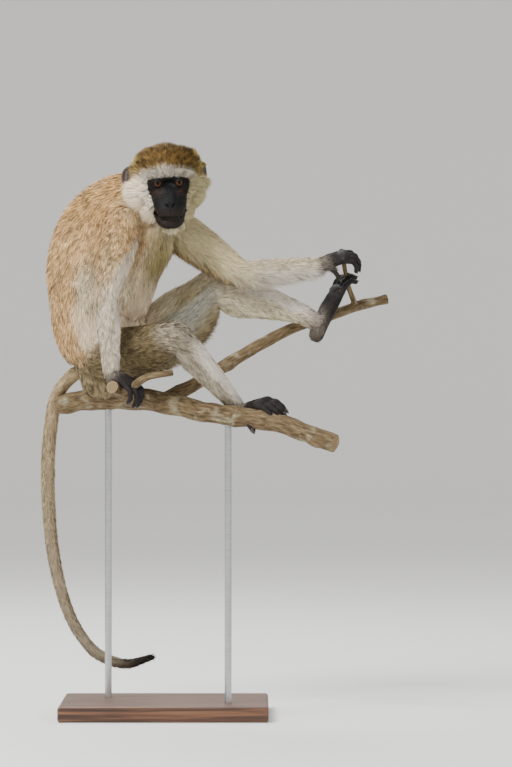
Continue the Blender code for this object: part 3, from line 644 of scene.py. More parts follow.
def body_masses():
    """Every mass of the body in one bmesh, still overlapping."""
    shell = bmesh.new()
    trunk, arm, leg, tail, wrist = (DEPTH[part] for part in ("trunk", "arm", "leg", "tail", "wrist"))
    add_loft(shell, slim(SPINE, trunk), sideways(PELVIS_TURN + 6), sides=40)
    breast = [
        ((-12, 12, 708), 34, 26),
        ((-20, 12, 682), 36, 31),
        ((-38, 14, 648), 38, 33),
        ((-55, 20, 606), 40, 34),
    ]
    add_loft(shell, slim(breast, trunk - 2), sideways(SHOULDER_TURN))
    add_head(shell)
    add_loft(shell, slim([(place, r, r) for place, r in TAIL], 8, tail, tail, tail, 4), Vector((0.3, 1, 0)))
    for side in SIDES:
        add_ball(shell, HIP[side] + Vector((0, 0, -4)), (40 - leg, 35 - leg, 37 - leg))
        shoulder, elbow, wrist_at = SHOULDER[side], ELBOW[side], WRIST[side]
        upper = [
            (shoulder.lerp(elbow, -0.08), 34, 34),
            (shoulder.lerp(elbow, 0.3), 31, 31),
            (shoulder.lerp(elbow, 0.7), 25, 25),
            (elbow, 20, 20),
        ]
        add_loft(shell, slim(upper, 10, arm, 6), sideways(SHOULDER_TURN))
        droop = Vector((0, 0, -1.5))
        lower = [
            (elbow, 20, 20),
            (elbow.lerp(wrist_at, 0.3) + droop, 20, 21),
            (elbow.lerp(wrist_at, 0.65) + droop * 0.7, 16, 17.2),
            (wrist_at, 11.5, 12),
        ]
        add_loft(shell, slim(lower, 6, 5.5, wrist), sideways(SHOULDER_TURN))
        hip, knee, ankle = HIP[side], KNEE[side], ANKLE[side]
        across = (knee - hip).cross(ankle - knee).normalized()
        bones = ((hip, knee, THIGHS[side], (8, leg, 4.5)), (knee, ankle, SHANKS[side], (4.5, 4.5, 4, wrist)))
        for start, end, sections, depths in bones:
            stations = [(start.lerp(end, at) + Vector(off), wide, deep) for at, off, wide, deep in sections]
            add_loft(shell, slim(stations, *depths), across)
        add_hand(shell, side)
        add_foot(shell, side)
        add_ear(shell, side)
    return shell


def head_points(points):
    """Points in millimetres, given in the head's own axes from the middle between the eyes."""
    return (points - np.array(EYES_AT)) @ np.array(HEAD)


def rise(value, low, high):
    """0 below low, 1 above high, and smooth between."""
    t = np.clip((value - low) / (high - low), 0, 1)
    return t * t * (3 - 2 * t)


def crispness(points):
    """How finely the skin is kept at a point: 1 on the face, ears, hands and feet, 0 on the body."""
    balls = [(in_head(0, 10, -20), 48)]
    for side in SIDES:
        hand_at = WRIST[side] + Vector(HANDS[side][0]).normalized() * PALM
        foot_at = HEEL[side] + Vector(FEET[side][0]).normalized() * 55
        balls += [(ear_middle(side), 20), (hand_at, 46), (foot_at, 62)]
    depths = [radius - np.linalg.norm(points - np.array(middle), axis=1) for middle, radius in balls]
    return np.clip(np.max(depths, axis=0) / 6, 0, 1)


# The eye opening in the skin, seen from the eye's centre, as shares of the eyeball's radius: half its
# width, and how high its upper lid and how low its lower lid open.
OPENING = (0.72, 0.27, 0.42)
# How far the lids lie from the eye's centre, and how far in the skin is tucked behind the opening.
LID, TUCK = 10.3, 8.0
# How many triangles the skin is thinned to, before the face is made finer again.
SKIN_FACES = 130000


def sculpt_face(points):
    """Presses eyelids, nostrils, lips and folds into the face. Points are in millimetres."""
    h = head_points(points)
    for side in (-1, 1):
        eye = h - np.array([side * EYE_SPACING / 2, 0, 0])
        far = np.linalg.norm(eye, axis=1)
        ray = eye / np.maximum(far, 1e-6)[:, None]
        x, y = ray[:, 0] * side, ray[:, 2]
        wide, up, down = OPENING
        # The corner by the nose lies a little lower than the outer corner.
        y = y - 0.1 * x
        share = np.clip(1 - (x / wide) ** 2, 0, 1)
        edge = np.where(y > 0, y / (up * share**0.6 + 1e-3), -y / (down * share**0.75 + 1e-3))
        front = (ray[:, 1] > 0.3) & (far < 22)
        inside = front & (edge < 1) & (np.abs(x) < wide)
        beyond = np.clip((np.hypot(x / wide, y / np.where(y > 0, up, down)) - 1) / 0.9, 0, 1)
        lid = LID + 0.5 * np.exp(-((beyond / 0.15) ** 2)) - 0.6 * np.exp(-(((beyond - 0.5) / 0.16) ** 2))
        target = np.where(inside, TUCK, lid + np.maximum(far - lid, 0) * rise(beyond, 0.25, 1.0))
        near = front & ((far < LID + 8) | inside)
        far = np.where(near, target, far)
        h = np.array([side * EYE_SPACING / 2, 0, 0]) + ray * far[:, None]
    a, f, u = h[:, 0], h[:, 1], h[:, 2]
    ahead = rise(f, 4, 14)
    push = np.zeros(len(h))
    for side in (-1, 1):
        x, y = a * side - NOSTRIL_ACROSS, u - NOSTRIL_UP
        along, cross = x * 0.77 + y * 0.64, -x * 0.64 + y * 0.77
        push -= 3.0 * np.exp(-((along / 3.0) ** 2) - (cross / 1.25) ** 2) * rise(f, 24, 30)
        push += 0.9 * np.exp(-((along / 4.2) ** 2) - ((cross - 2.6) / 1.5) ** 2) * rise(f, 24, 30)
        # Bags under the eye, in three soft arcs.
        ring = np.hypot(a - side * 14, (u + 1) * 1.05)
        below = rise(-u, 6, 12) * rise(36 - np.abs(a), 0, 6)
        for reach, depth in ((14.5, 0.8), (18.5, 0.6), (22.5, 0.35)):
            push -= depth * np.exp(-(((ring - reach) / 1.1) ** 2)) * below
        # Fine upright folds on the side of the muzzle.
        folds = 0.25 * np.exp(-(((a * side - 17) / 5) ** 2)) * np.sin(u * 0.9 + a * side * 0.5)
        push -= folds * rise(-u, 16, 24)
    mouth_at = MOUTH_UP - 0.004 * a**2 - 1.2 * np.exp(-((a / 3) ** 2))
    within = rise(19 - np.abs(a), 0, 3)
    push -= 1.9 * np.exp(-(((u - mouth_at) / 1.0) ** 2)) * within * ahead
    push += 0.7 * np.exp(-(((u - mouth_at - 2.6) / 1.8) ** 2)) * within * ahead
    push += 0.5 * np.exp(-(((u - mouth_at + 2.8) / 1.9) ** 2)) * within * ahead
    push -= 0.8 * np.exp(-((a / 0.9) ** 2)) * rise(-u, 35, 37) * rise(u, -46, -44) * ahead
    # The dip on either side of the nose's bridge.
    push -= 1.0 * np.exp(-(((np.abs(a) - 9.5) / 2.6) ** 2)) * rise(-u, 8, 14) * rise(u, -30, -22) * ahead
    outward = h - np.array([0, -14, -26])
    outward /= np.linalg.norm(outward, axis=1)[:, None]
    h = h + outward * push[:, None]
    return h @ np.array(HEAD).T + np.array(EYES_AT)


def grown_skin():
    """The masses as one skin, firm on face, hands and feet, thinned on the body, with the face sculpted."""
    made = mesh_object("skin", body_masses())
    remesh = made.modifiers.new("one_skin", "REMESH")
    remesh.mode = "VOXEL"
    remesh.voxel_size = 1.05 * MM
    baked(made)
    crisp = crispness(points_of(made.data) / MM)
    for name, weights in (("soft", 1 - 0.93 * crisp), ("plain", 1 - 0.6 * crisp)):
        group = made.vertex_groups.new(name=name)
        for level in range(1, 11):
            held = np.nonzero(np.round(weights * 10) == level)[0]
            if len(held):
                group.add(held.tolist(), level / 10, "REPLACE")
    smooth = made.modifiers.new("soften", "SMOOTH")
    smooth.factor = 0.5
    smooth.iterations = 30
    smooth.vertex_group = "soft"
    thin = made.modifiers.new("thin", "DECIMATE")
    thin.ratio = min(1.0, SKIN_FACES / (2 * len(made.data.polygons)))
    thin.vertex_group = "plain"
    thin.vertex_group_factor = 0.0001
    baked(made)
    made.vertex_groups.clear()
    shell = bmesh.new()
    shell.from_mesh(made.data)
    shell.verts.ensure_lookup_table()
    h = head_points(np.array([v.co for v in shell.verts]) / MM)
    face = (h[:, 1] > -4) & (np.abs(h[:, 0]) < 30) & (h[:, 2] > -64) & (h[:, 2] < 12)
    edges = [e for e in shell.edges if face[e.verts[0].index] and face[e.verts[1].index]]
    bmesh.ops.subdivide_edges(shell, edges=edges, cuts=1, smooth=0.6)
    bmesh.ops.triangulate(shell, faces=[f for f in shell.faces if len(f.verts) > 4])
    shell.to_mesh(made.data)
    shell.free()
    set_points(made.data, sculpt_face(points_of(made.data) / MM) * MM)
    made.data.shade_smooth()
    return made


skin = grown_skin()
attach(skin, "root")
flesh = [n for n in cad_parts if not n.startswith(("eye", "stand", "perch"))]
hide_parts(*flesh)


# ---- The markings, which skin and coat share ----
# Tan back with dark ticking, white underside, cheeks and brow band, olive-brown cap, grizzled grey
# limbs, black face, hands and feet. Each part of the body has its colours, and they run into each other.

# The way chest and belly face, and over how many millimetres the parts run into each other.
TRUNK_FRONT = np.array([math.cos(math.radians(31)), -math.sin(math.radians(31)), 0.0])
BLEND = 4.5


def ball_line(*places):
    """A line of (x, y, z, radius) through points given as (point, radius)."""
    return [(*place, radius) for place, radius in places]


def body_lines():
    """The middle line of each part of the body, from its root to its end, as the coat lies."""
    lines = {
        "trunk": [(*place, (wide + deep) / 2 - 6) for place, wide, deep in reversed(SPINE)],
        "tail": [(*place, radius - 3) for place, radius in TAIL],
        "head": ball_line((in_head(0, -46, 8), 41), (in_head(0, -20, -8), 37), (in_head(0, 6, -30), 24)),
    }
    for side in SIDES:
        lines[f"upper_arm_{side}"] = ball_line((SHOULDER[side], 27), (ELBOW[side], 16))
        lines[f"forearm_{side}"] = ball_line((ELBOW[side], 15), (WRIST[side], 9.5))
        knuckles = WRIST[side] + Vector(HANDS[side][0]).normalized() * (PALM + 14)
        lines[f"hand_{side}"] = ball_line((WRIST[side], 9.5), (knuckles, 11))
        lines[f"thigh_{side}"] = ball_line((HIP[side] + Vector((0, 0, -6)), 34), (KNEE[side], 18))
        lines[f"shank_{side}"] = ball_line((KNEE[side], 17), (ANKLE[side], 9.5))
        toes = HEEL[side] + Vector(FEET[side][0]).normalized() * (SOLE + 26)
        lines[f"foot_{side}"] = ball_line((HEEL[side], 9), (toes, 11))
    return lines


LINES = body_lines()
PARTS = list(LINES)


def parts_at(points):
    """How much each part of the body has a say at each point, how far along the part the point lies (0 to
    1), the way out from the part's middle line, and the way the part runs."""
    gaps, shares, outs, runs = [], [], [], []
    for line in LINES.values():
        found = nearest_on(line, points)
        gaps.append(found[:, 0])
        shares.append(found[:, 1] / np.linalg.norm(np.diff(np.array(line)[:, :3], axis=0), axis=1).sum())
        out = points - found[:, 2:5]
        outs.append(out / np.maximum(np.linalg.norm(out, axis=1), 1e-6)[:, None])
        runs.append(found[:, 6:9])
    gaps = np.array(gaps)
    says = np.exp(-(gaps - gaps.min(0)) / BLEND)
    return says / says.sum(0), np.array(shares), np.array(outs), np.array(runs)


def mixed(first, second, share):
    """One colour run into another. Either may be a hex code."""
    first, second = (np.array(linear(c)) if isinstance(c, str) else c for c in (first, second))
    return first + (second - first) * np.asarray(share)[..., None]


# The bare face's edge: heights in the head's axes, and how far out the edge lies at each.
FACE_EDGE = (
    [-67, -65.5, -62.5, -57, -52, -47.5, -40, -32, -26, -18, -10.5, -5, 1, 5, 7.5, 9],
    [0, 8, 14.5, 20.5, 22.5, 23.5, 24, 24.3, 24.8, 26.5, 28.5, 31, 31, 28, 20, 0],
)


def face_share(h, beyond=0.0, soft=1.2):
    """1 on the bare black face and 0 outside it, for points in the head's axes. beyond widens it."""
    reach = np.interp(h[:, 2], *FACE_EDGE, left=0, right=0) + beyond
    inside = rise(reach - np.abs(h[:, 0]), -soft, soft)
    inside = inside * rise(h[:, 2], -65.5 - beyond - soft, -65.5 - beyond + soft)
    inside = inside * (1 - rise(h[:, 2], 8 + beyond - soft, 8 + beyond + soft))
    return inside * rise(h[:, 1] - 7 * rise(-h[:, 2], 36, 50), -18 - beyond, -10 - beyond)


def ear_share(h):
    """1 on the ears and 0 elsewhere."""
    right = h[:, 0] < 0
    ear_at = np.where(right, EAR_AT["right"], EAR_AT["left"])
    behind = np.where(right, 32, 45)
    away = [(np.abs(h[:, 0]) - ear_at) / 15, (h[:, 1] + behind) / 12.5, (h[:, 2] - 9) / 19]
    return 1 - rise(np.linalg.norm(np.column_stack(away), axis=1), 0.95, 1.08)


def head_colour(h):
    """The head's coat: olive-brown cap, grey-white brow band greyed partly by painted shade, cream cheeks
    with painted shade on the left one, and a tan nape.
    """
    a, f, u = np.abs(h[:, 0]), h[:, 1], h[:, 2]
    uneven = 0.9 * ripple(h, 9, 27)
    cap = rise(u + uneven + 0.1 * a + 8 * rise(a, 30, 42), 15.5, 21.5)
    band = rise(u, 2, 8) * (1 - cap) * rise(f, -22, -8)
    # The left cheek, on the side turned from the light, is a darker olive cream: partly its own tint, partly
    # painted shade.
    left_cheek = np.maximum(rise(h[:, 0], 12, 29), rise(h[:, 0], 8, 26) * rise(-u, 24, 44))
    right_cheek = 0.75 * rise(-h[:, 0], 12, 28) * rise(-f + 0.5 * np.abs(u + 12) + uneven, 8, 34)
    colour = mixed("#e6d9c6", "#aa9f78", left_cheek)
    colour = mixed(colour, "#cfb488", right_cheek)
    # The brow band's white hair is painted a greyer white: partly painted shade.
    colour = mixed(colour, "#8f8678", band)
    colour = mixed(colour, "#4c3712", cap)
    colour = mixed(colour, "#7d6a3c", cap * rise(a, 28, 42))
    colour = mixed(colour, "#ad8f60", (1 - cap) * rise(-f + uneven, 40, 52))
    fringe = (1 - cap) * rise(-u, 50, 60) * rise(f, -14, -4)
    return mixed(colour, "#c6bb9a", fringe), 0.15 + 0.85 * np.maximum(cap, 0.5 * band)


def face_colour(h):
    """The bare face: black, browner on the lips and in the bags under the eyes, with a painted bluish
    highlight along the nose, and painted shade in the nostrils, along the mouth and round the eyes.
    """
    a, u = np.abs(h[:, 0]), h[:, 2]
    colour = np.tile(linear("#090808"), (len(h), 1))
    bags = np.exp(-(((a - 17) / 8.5) ** 2) - ((u + 12) / 5.5) ** 2)
    colour = mixed(colour, "#2c1e1a", 0.8 * bags)
    # Painted highlight: a lighter bluish sheen along the bridge of the nose.
    nose = 0.8 * np.exp(-((a / 5) ** 2)) * rise(-u, 6, 14) * (1 - rise(-u, 24, 30))
    colour = mixed(colour, "#151517", nose)
    colour = mixed(colour, "#261e1a", 0.75 * rise(-u, 30, 42))
    colour = mixed(colour, "#3a3533", 0.45 * np.exp(-(((a - 14) / 6) ** 2) - ((u - 5.5) / 1.6) ** 2))
    # Painted shade: the nostril openings are painted near black.
    beside, above = a - NOSTRIL_ACROSS, u - NOSTRIL_UP
    along, cross = beside * 0.77 + above * 0.64, above * 0.77 - beside * 0.64
    colour = mixed(colour, "#050404", 0.95 * np.exp(-((along / 2.8) ** 4) - (cross / 1.2) ** 2))
    # Painted shade: a dark line in the crease where the lips meet.
    colour = mixed(colour, "#0b0909", 0.8 * np.exp(-((a / 15) ** 4) - ((u + 47.8) / 1.2) ** 2))
    # Dark lids and painted shade: a near-black ring round each eye stands in partly for the shade of the
    # deep sockets.
    ring = np.hypot((a - 15) / 1.35, u)
    return mixed(colour, "#0c0a0a", 0.9 * np.exp(-(((ring - 5.6) / 1.7) ** 2)))


def markings(points, beyond=0.0, hair=False):
    """The coat's colour, how strongly it is ticked with dark and pale hair tips, and how bare the skin is.
    For hair the colour leaves out the bare face and ears."""
    says, shares, outs, _ = parts_at(points)
    colour, ticks = np.zeros((len(points), 3)), np.zeros(len(points))
    h = head_points(points)
    uneven = 0.12 * ripple(points, 30, 22) + 0.05 * ripple(points, 9, 23)
    for part, say, share, out in zip(PARTS, says, shares, outs):
        kind, side = part.rsplit("_", 1) if "_" in part else (part, "")
        medial = out @ TRUNK_FRONT
        if kind == "head":
            own, tick = head_colour(h)
        elif kind == "trunk":
            upper = rise(points[:, 2], 600, 665)
            edge = np.interp(points[:, 2], [590, 610, 650, 700], [62, 44, 28, 22])
            beside = rise(-points[:, 0] + 40 * uneven - edge, -8, 8)
            beside = beside * rise(points[:, 2], 575, 600) * rise(medial, 0, 0.3)
            # Painted shade: on the upper chest between the arms the pale underside is held back and turned a
            # darker olive, partly its own olive tint and partly the shade that falls there.
            pale = rise(medial + uneven - 0.42 * upper, -0.1, 0.32) * (1 - 0.85 * beside)
            own = mixed(mixed("#c7a273", "#bb9562", rise(points[:, 2], 690, 740)), "#e0cdb2", pale)
            own = mixed(own, "#887c4e", rise(medial, 0.2, 0.6) * upper * (1 - 0.85 * beside))
            own = mixed(own, "#d3c4a8", 0.9 * beside * (1 - rise(points[:, 2], 630, 690)))
            rump = 1 - rise(points[:, 2] + 40 * uneven, 500, 545)
            own = mixed(own, "#857659", rump)
            tick = np.maximum(0.9 - 0.75 * pale, 0.8 * rump)
        elif kind == "tail":
            own = mixed(mixed("#ab9673", "#8d8271", share), "#2c2724", rise(share, 0.86, 0.97))
            tick = 0.6 * (1 - share)
        elif kind == "upper_arm":
            inner = out @ (np.array([0.95, 0.1, -0.1]) if side == "right" else np.array([0.1, -0.75, 0.6]))
            edge = np.interp(share, [0, 0.5, 1], [0.95, 0.5, -0.35]) if side == "right" else -0.35
            pale = rise(inner + uneven - edge, -0.1, 0.28)
            inside = "#e2d5c0" if side == "right" else "#cdbf98"
            own = mixed(mixed("#c09b6a", "#bda684", share), inside, pale)
            tick = 0.9 - 0.7 * pale
        elif kind == "forearm":
            if side == "left":
                under = rise(-out[:, 2] + uneven, 0.1, 0.6)
            else:
                under = rise(out[:, 0] + uneven, 0.3, 0.8)
            own = mixed(mixed("#c6b9a4", "#cdbfa6", float(side == "left")), "#e0d8c9", under)
            own = mixed(own, "#857c72", rise(share, 0.86, 1.0))
            tick = 0.6 - 0.45 * under - 0.2 * (side == "left")
        elif kind == "thigh":
            if side == "right":
                own = mixed("#74664a", "#968b77", rise(share + uneven, 0.66, 1.02))
                own = mixed(own, "#d3c9b6", rise(out[:, 1] + uneven, 0.25, 0.7))
                tick = 0.9 - 0.3 * share
            else:
                # Painted light and shade: the left thigh is paler cream where it faces up and a darker olive
                # on its sides, as the light falls from above.
                own = mixed("#9a8c6b", "#c9bc9f", rise(out[:, 2] + uneven, 0.1, 0.6))
                rear = rise(-out[:, 1], 0.3, 0.8) * rise(-out[:, 2] + uneven, -0.2, 0.3)
                own = mixed(own, "#a3a195", rear)
                tick = 0.4
        elif kind == "shank":
            knee = (1 - rise(share + uneven, 0.0, 0.2)) * float(side == "right")
            shin = rise(out @ np.array([0.75, 0.1, 0.65]) + uneven, 0.0, 0.45)
            calf = "#aaa08e" if side == "right" else "#d3c7ac"
            dark = np.maximum(rise(share, 0.82, 1.0), 0.8 * knee)
            own = mixed(mixed(calf, "#e4dccf", shin), "#9b9184", dark)
            tick = 0.65 - 0.5 * shin * (1 - knee)
        else:
            root = 1 - rise(share, 0.0, 0.35)
            own = mixed("#2c2725", "#655c54", root)
            tick = 0.3 * root
        if part in ("trunk", "upper_arm_right"):
            cloaked = 1 - rise(np.linalg.norm(h - np.array([-34, -22, -38]), axis=1) + 8 * uneven, 24, 48)
            own = mixed(own, "#d8bf95", 0.75 * cloaked)
            tick = tick * (1 - 0.5 * cloaked)
        colour += say[:, None] * own
        ticks += say * tick
    # Hair grows a little way in from the face's edge.
    bare = face = face_share(h, -2.5 if hair else beyond)
    ears = ear_share(h)
    if not hair:
        colour = mixed(colour, face_colour(h), bare)
        colour = mixed(colour, "#584f49", ears)
    for kind, low in (("hand", 0.42), ("foot", 0.5)):
        for side in SIDES:
            i = PARTS.index(f"{kind}_{side}")
            back = Vector((HANDS if kind == "hand" else FEET)[side][1]).normalized()
            under = rise(-(outs[i] @ np.array(back)), 0.0, 0.35)
            bare = np.maximum(bare, says[i] * np.maximum(under, rise(shares[i], low, low + 0.15)))
    colour = mixed(colour, "#211d1c", np.maximum(bare - face, 0))
    # Some short hair grows on the ears.
    return np.clip(colour, 0, 1), ticks, np.maximum(bare, ears * (0.42 if hair else 1.0))


def body_skin():
    """Skin: satin and finely pebbled where it is bare, dull and hair-coloured under the coat, where its tint
    is darkened as painted shade.
    """
    leather = blank("body_skin")
    place = add(leather, "ShaderNodeTexCoord").outputs["Object"]
    tint = add(leather, "ShaderNodeAttribute", attribute_name="tint").outputs["Color"]
    bare = add(leather, "ShaderNodeAttribute", attribute_name="bare").outputs["Fac"]
    mottle = add(leather, "ShaderNodeTexNoise", {"Vector": place, "Scale": 260.0, "Detail": 4.0}).outputs[0]
    tone = add(leather, "ShaderNodeMapRange", {"Value": mottle, "To Min": 0.72, "To Max": 1.25}).outputs[0]
    colour = add(leather, "ShaderNodeVectorMath", {0: tint, "Scale": tone}, operation="SCALE").outputs[0]
    # Pebbling of the skin: cells of 0.9 mm, drawn a little larger than real so that they show.
    cells = add(leather, "ShaderNodeTexVoronoi", {"Vector": place, "Scale": 1100.0}).outputs["Distance"]
    bumps = add(leather, "ShaderNodeMath", {0: cells, 1: mottle}, operation="ADD").outputs[0]
    bump = add(leather, "ShaderNodeBump", {"Height": bumps, "Strength": 0.45, "Distance": 0.0004}).outputs[0]
    rough = add(leather, "ShaderNodeMapRange", {"Value": bare, "To Min": 0.9, "To Max": 0.58}).outputs[0]
    surface = {"Base Color": colour, "Roughness": rough, "Normal": bump, "Specular IOR Level": 0.15}
    shader = add(leather, "ShaderNodeBsdfPrincipled", surface)
    add(leather, "ShaderNodeOutputMaterial", {"Surface": shader.outputs[0]})
    return leather


skin_places = points_of(skin.data) / MM
skin_tint, _, skin_bare = markings(skin_places, beyond=2.5)
# Painted shade: under the coat the skin's colour is darkened to a little over half, for the shade the fur
# casts on it.
shaded = skin_tint * (0.55 + 0.45 * skin_bare)[:, None]
store(skin.data, "tint", np.column_stack([shaded, np.ones(len(shaded))]))
store(skin.data, "bare", skin_bare)
skin.data.materials.append(body_skin())


# ---- The eyes ----
# Glass-clear over an amber iris with a dark rim and a round pupil; the rest of the ball is dark brown.

# The way the eyes look, and the iris's radius.
GAZE = Vector((0.026, -1.0, -0.058)).normalized()
IRIS = 5.4


def wet_eye():
    """A wet eye: amber iris streaked outwards from the pupil, under a smooth clear surface."""
    wet = blank("wet_eye")
    ring = add(wet, "ShaderNodeAttribute", attribute_name="ring").outputs["Fac"]
    spokes = add(wet, "ShaderNodeAttribute", attribute_name="spokes").outputs["Vector"]
    streaks = add(wet, "ShaderNodeTexNoise", {"Vector": spokes, "Scale": 5.0, "Detail": 3.0}).outputs["Fac"]
    spread = add(wet, "ShaderNodeMath", {0: streaks, 1: 0.16, 2: -0.08}, operation="MULTIPLY_ADD").outputs[0]
    reach = add(wet, "ShaderNodeMath", {0: ring, 1: spread}, operation="ADD").outputs[0]
    # From the middle: the pupil, three browns across the iris, its dark rim, and the brown of the ball.
    tones = [(0.0, "#050303"), (0.38, "#050303"), (0.44, "#2a170a"), (0.62, "#5c3416"), (0.82, "#3c220f")]
    tones += [(0.94, "#170c06"), (1.0, "#1a100b")]
    tone = add(wet, "ShaderNodeValToRGB", {"Fac": reach}, tones).outputs["Color"]
    surface = {"Base Color": tone, "Roughness": 0.12, "Specular IOR Level": 0.0}
    surface |= {"Coat Weight": 0.3, "Coat Roughness": 0.03}
    shader = add(wet, "ShaderNodeBsdfPrincipled", surface)
    add(wet, "ShaderNodeOutputMaterial", {"Surface": shader.outputs[0]})
    return wet


eye_finish = wet_eye()
for eye_name, eye_side in (("left", 1), ("right", -1)):
    ball = bmesh.new()
    bmesh.ops.create_uvsphere(ball, u_segments=48, v_segments=40, radius=1)
    eye = mesh_object(f"eyeball_{eye_name}", ball)
    rays = points_of(eye.data)
    tilt = np.degrees(np.arccos(np.clip(rays[:, 2], -1, 1)))
    iris_tilt = math.degrees(math.asin(IRIS / EYE_RADIUS))
    bulge = 0.75 * np.clip(1 - (tilt / (iris_tilt * 1.1)) ** 2, 0, 1)
    turn = np.array(GAZE.to_track_quat("Z", "Y").to_matrix())
    ball_at = np.array(in_head(eye_side * EYE_SPACING / 2, 0, 0))
    set_points(eye.data, ((rays * (EYE_RADIUS - 0.25 + bulge)[:, None]) @ turn.T + ball_at) * MM)
    store(eye.data, "ring", np.minimum(tilt / iris_tilt, 1.5))
    angle = np.arctan2(rays[:, 1], rays[:, 0])
    store(eye.data, "spokes", np.column_stack([np.cos(angle), np.sin(angle), tilt * 0.004]))
    eye.data.shade_smooth()
    eye.data.materials.append(eye_finish)
    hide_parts(f"eye_{eye_name}")
    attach(eye, "root")


# ---- The nails ----
# Twenty narrow nails, curved over the tips of fingers and toes: black horn with a soft shine.


def black_horn():
    """Horn: near black, smooth, with faint lines along the nail about 0.4 mm apart."""
    horn = blank("black_horn")
    place = add(horn, "ShaderNodeTexCoord").outputs["Object"]
    lines = add(horn, "ShaderNodeTexNoise", {"Vector": place, "Scale": 1200.0, "Detail": 2.0}).outputs["Fac"]
    tones = [(0.3, "#1b1613"), (0.7, "#3d342d")]
    tone = add(horn, "ShaderNodeValToRGB", {"Fac": lines}, tones).outputs["Color"]
    shader = add(horn, "ShaderNodeBsdfPrincipled", {"Base Color": tone, "Roughness": 0.3})
    add(horn, "ShaderNodeOutputMaterial", {"Surface": shader.outputs[0]})
    return horn


def add_nail(shell, tip, heading, axis, radius):
    """One nail: a curved plate of two layers, set on the back of the digit's tip."""
    up = axis.cross(heading)
    layers = []
    for thick in (0.45, -0.5):
        rows = []
        for i in range(6):
            s = i / 5
            row = []
            for k in range(7):
                t = (k - 3) / 3
                round_end = 1 - 0.35 * s**3 * t * t
                arc = math.radians(52) * t * (1 - 0.35 * s)
                reach = radius + thick - 0.25 * (1 - s) - 0.9 * s * s
                along = heading * (-0.9 + 2.35 * s * round_end) * radius
                out = (axis * math.sin(arc) + up * math.cos(arc)) * reach
                row.append(shell.verts.new((tip + along + out) * MM))
            rows.append(row)
        layers.append(rows)
    top, under = layers
    for i in range(5):
        for k in range(6):
            shell.faces.new((top[i][k], top[i + 1][k], top[i + 1][k + 1], top[i][k + 1]))
            shell.faces.new((under[i][k], under[i][k + 1], under[i + 1][k + 1], under[i + 1][k]))
    for i in range(5):
        for k in (0, 6):
            shell.faces.new((top[i][k], top[i + 1][k], under[i + 1][k], under[i][k]))
    for k in range(6):
        for i in (0, 5):
            shell.faces.new((top[i][k], top[i][k + 1], under[i][k + 1], under[i][k]))


nail_shell = bmesh.new()
for digit in digit_tips:
    add_nail(nail_shell, *digit)
nails = mesh_object("nails", nail_shell)
nails.data.shade_smooth()
nails.data.materials.append(black_horn())
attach(nails, "root")


# ---- The coat ----
# Fur in flat tapering tufts of a few hairs each, rooted just under the skin. Each lies the way the hair
# grows on its part of the body, lifts off the skin, bends back to it and leans with its neighbours.

# How many triangles the tufts are set on.
ROOT_FACES = 26000


def unwrapped_roots():
    """A light copy of the skin, unwrapped, on whose faces the tufts are set: corners, normals and map."""
    copy = skin.copy()
    copy.data = skin.data.copy()
    world.objects.link(copy)
    thin = copy.modifiers.new("thin", "DECIMATE")
    thin.ratio = ROOT_FACES / sum(len(p.vertices) - 2 for p in copy.data.polygons)
    copy.modifiers.new("triangles", "TRIANGULATE")
    baked(copy)
    bpy.ops.object.select_all(action="DESELECT")
    bpy.context.view_layer.objects.active = copy
    copy.select_set(True)
    bpy.ops.object.mode_set(mode="EDIT")
    bpy.ops.mesh.select_all(action="SELECT")
    bpy.ops.uv.smart_project(angle_limit=math.radians(66), island_margin=0.002)
    bpy.ops.object.mode_set(mode="OBJECT")
    mesh = copy.data
    corners = np.empty(len(mesh.loops), np.int32)
    mesh.loops.foreach_get("vertex_index", corners)
    flat = np.empty(len(mesh.loops) * 2, np.float32)
    mesh.uv_layers[0].data.foreach_get("uv", flat)
    places, normals = points_of(mesh) / MM, points_of(mesh, "normal")
    corners = corners.reshape(-1, 3)
    found = (places[corners], normals[corners], flat.reshape(-1, 3, 2).astype(float))
    bpy.data.objects.remove(copy)
    return found


def hair_lie(points, normals):
    """Which way the hair runs over the skin at each point, as a unit vector in the skin's plane."""
    says, _, _, runs = parts_at(points)
    h = head_points(points)
    # On the head it runs away from the middle of the face, then back and down.
    away = (h - np.array([0, 20, -16])) * [1.0, 0, 1.0]
    away /= np.maximum(np.linalg.norm(away, axis=1), 1e-6)[:, None]
    sweep = away * (1.1 - 0.65 * rise(-h[:, 1], 15, 45))[:, None] + np.array([0, -0.8, -0.15])
    runs[PARTS.index("head")] = sweep @ np.array(HEAD).T
    lie = (says[:, :, None] * runs).sum(0)
    lie += 0.16 * np.column_stack([ripple(points, 24, seed) for seed in (31, 32, 33)])
    lie -= normals * (lie * normals).sum(1)[:, None]
    return lie / np.maximum(np.linalg.norm(lie, axis=1), 1e-6)[:, None], says


# Each part's coat: length and half width of a tuft in millimetres, and how far it lifts in degrees.
FUR = {
    "trunk": (17, 0.6, 21),
    "tail": (11, 0.55, 20),
    "head": (15, 0.5, 42),
    "upper_arm": (14.5, 0.58, 21),
    "forearm": (13, 0.56, 18),
    "hand": (6, 0.45, 14),
    "thigh": (15, 0.6, 20),
    "shank": (12, 0.56, 18),
    "foot": (7.5, 0.45, 14),
}


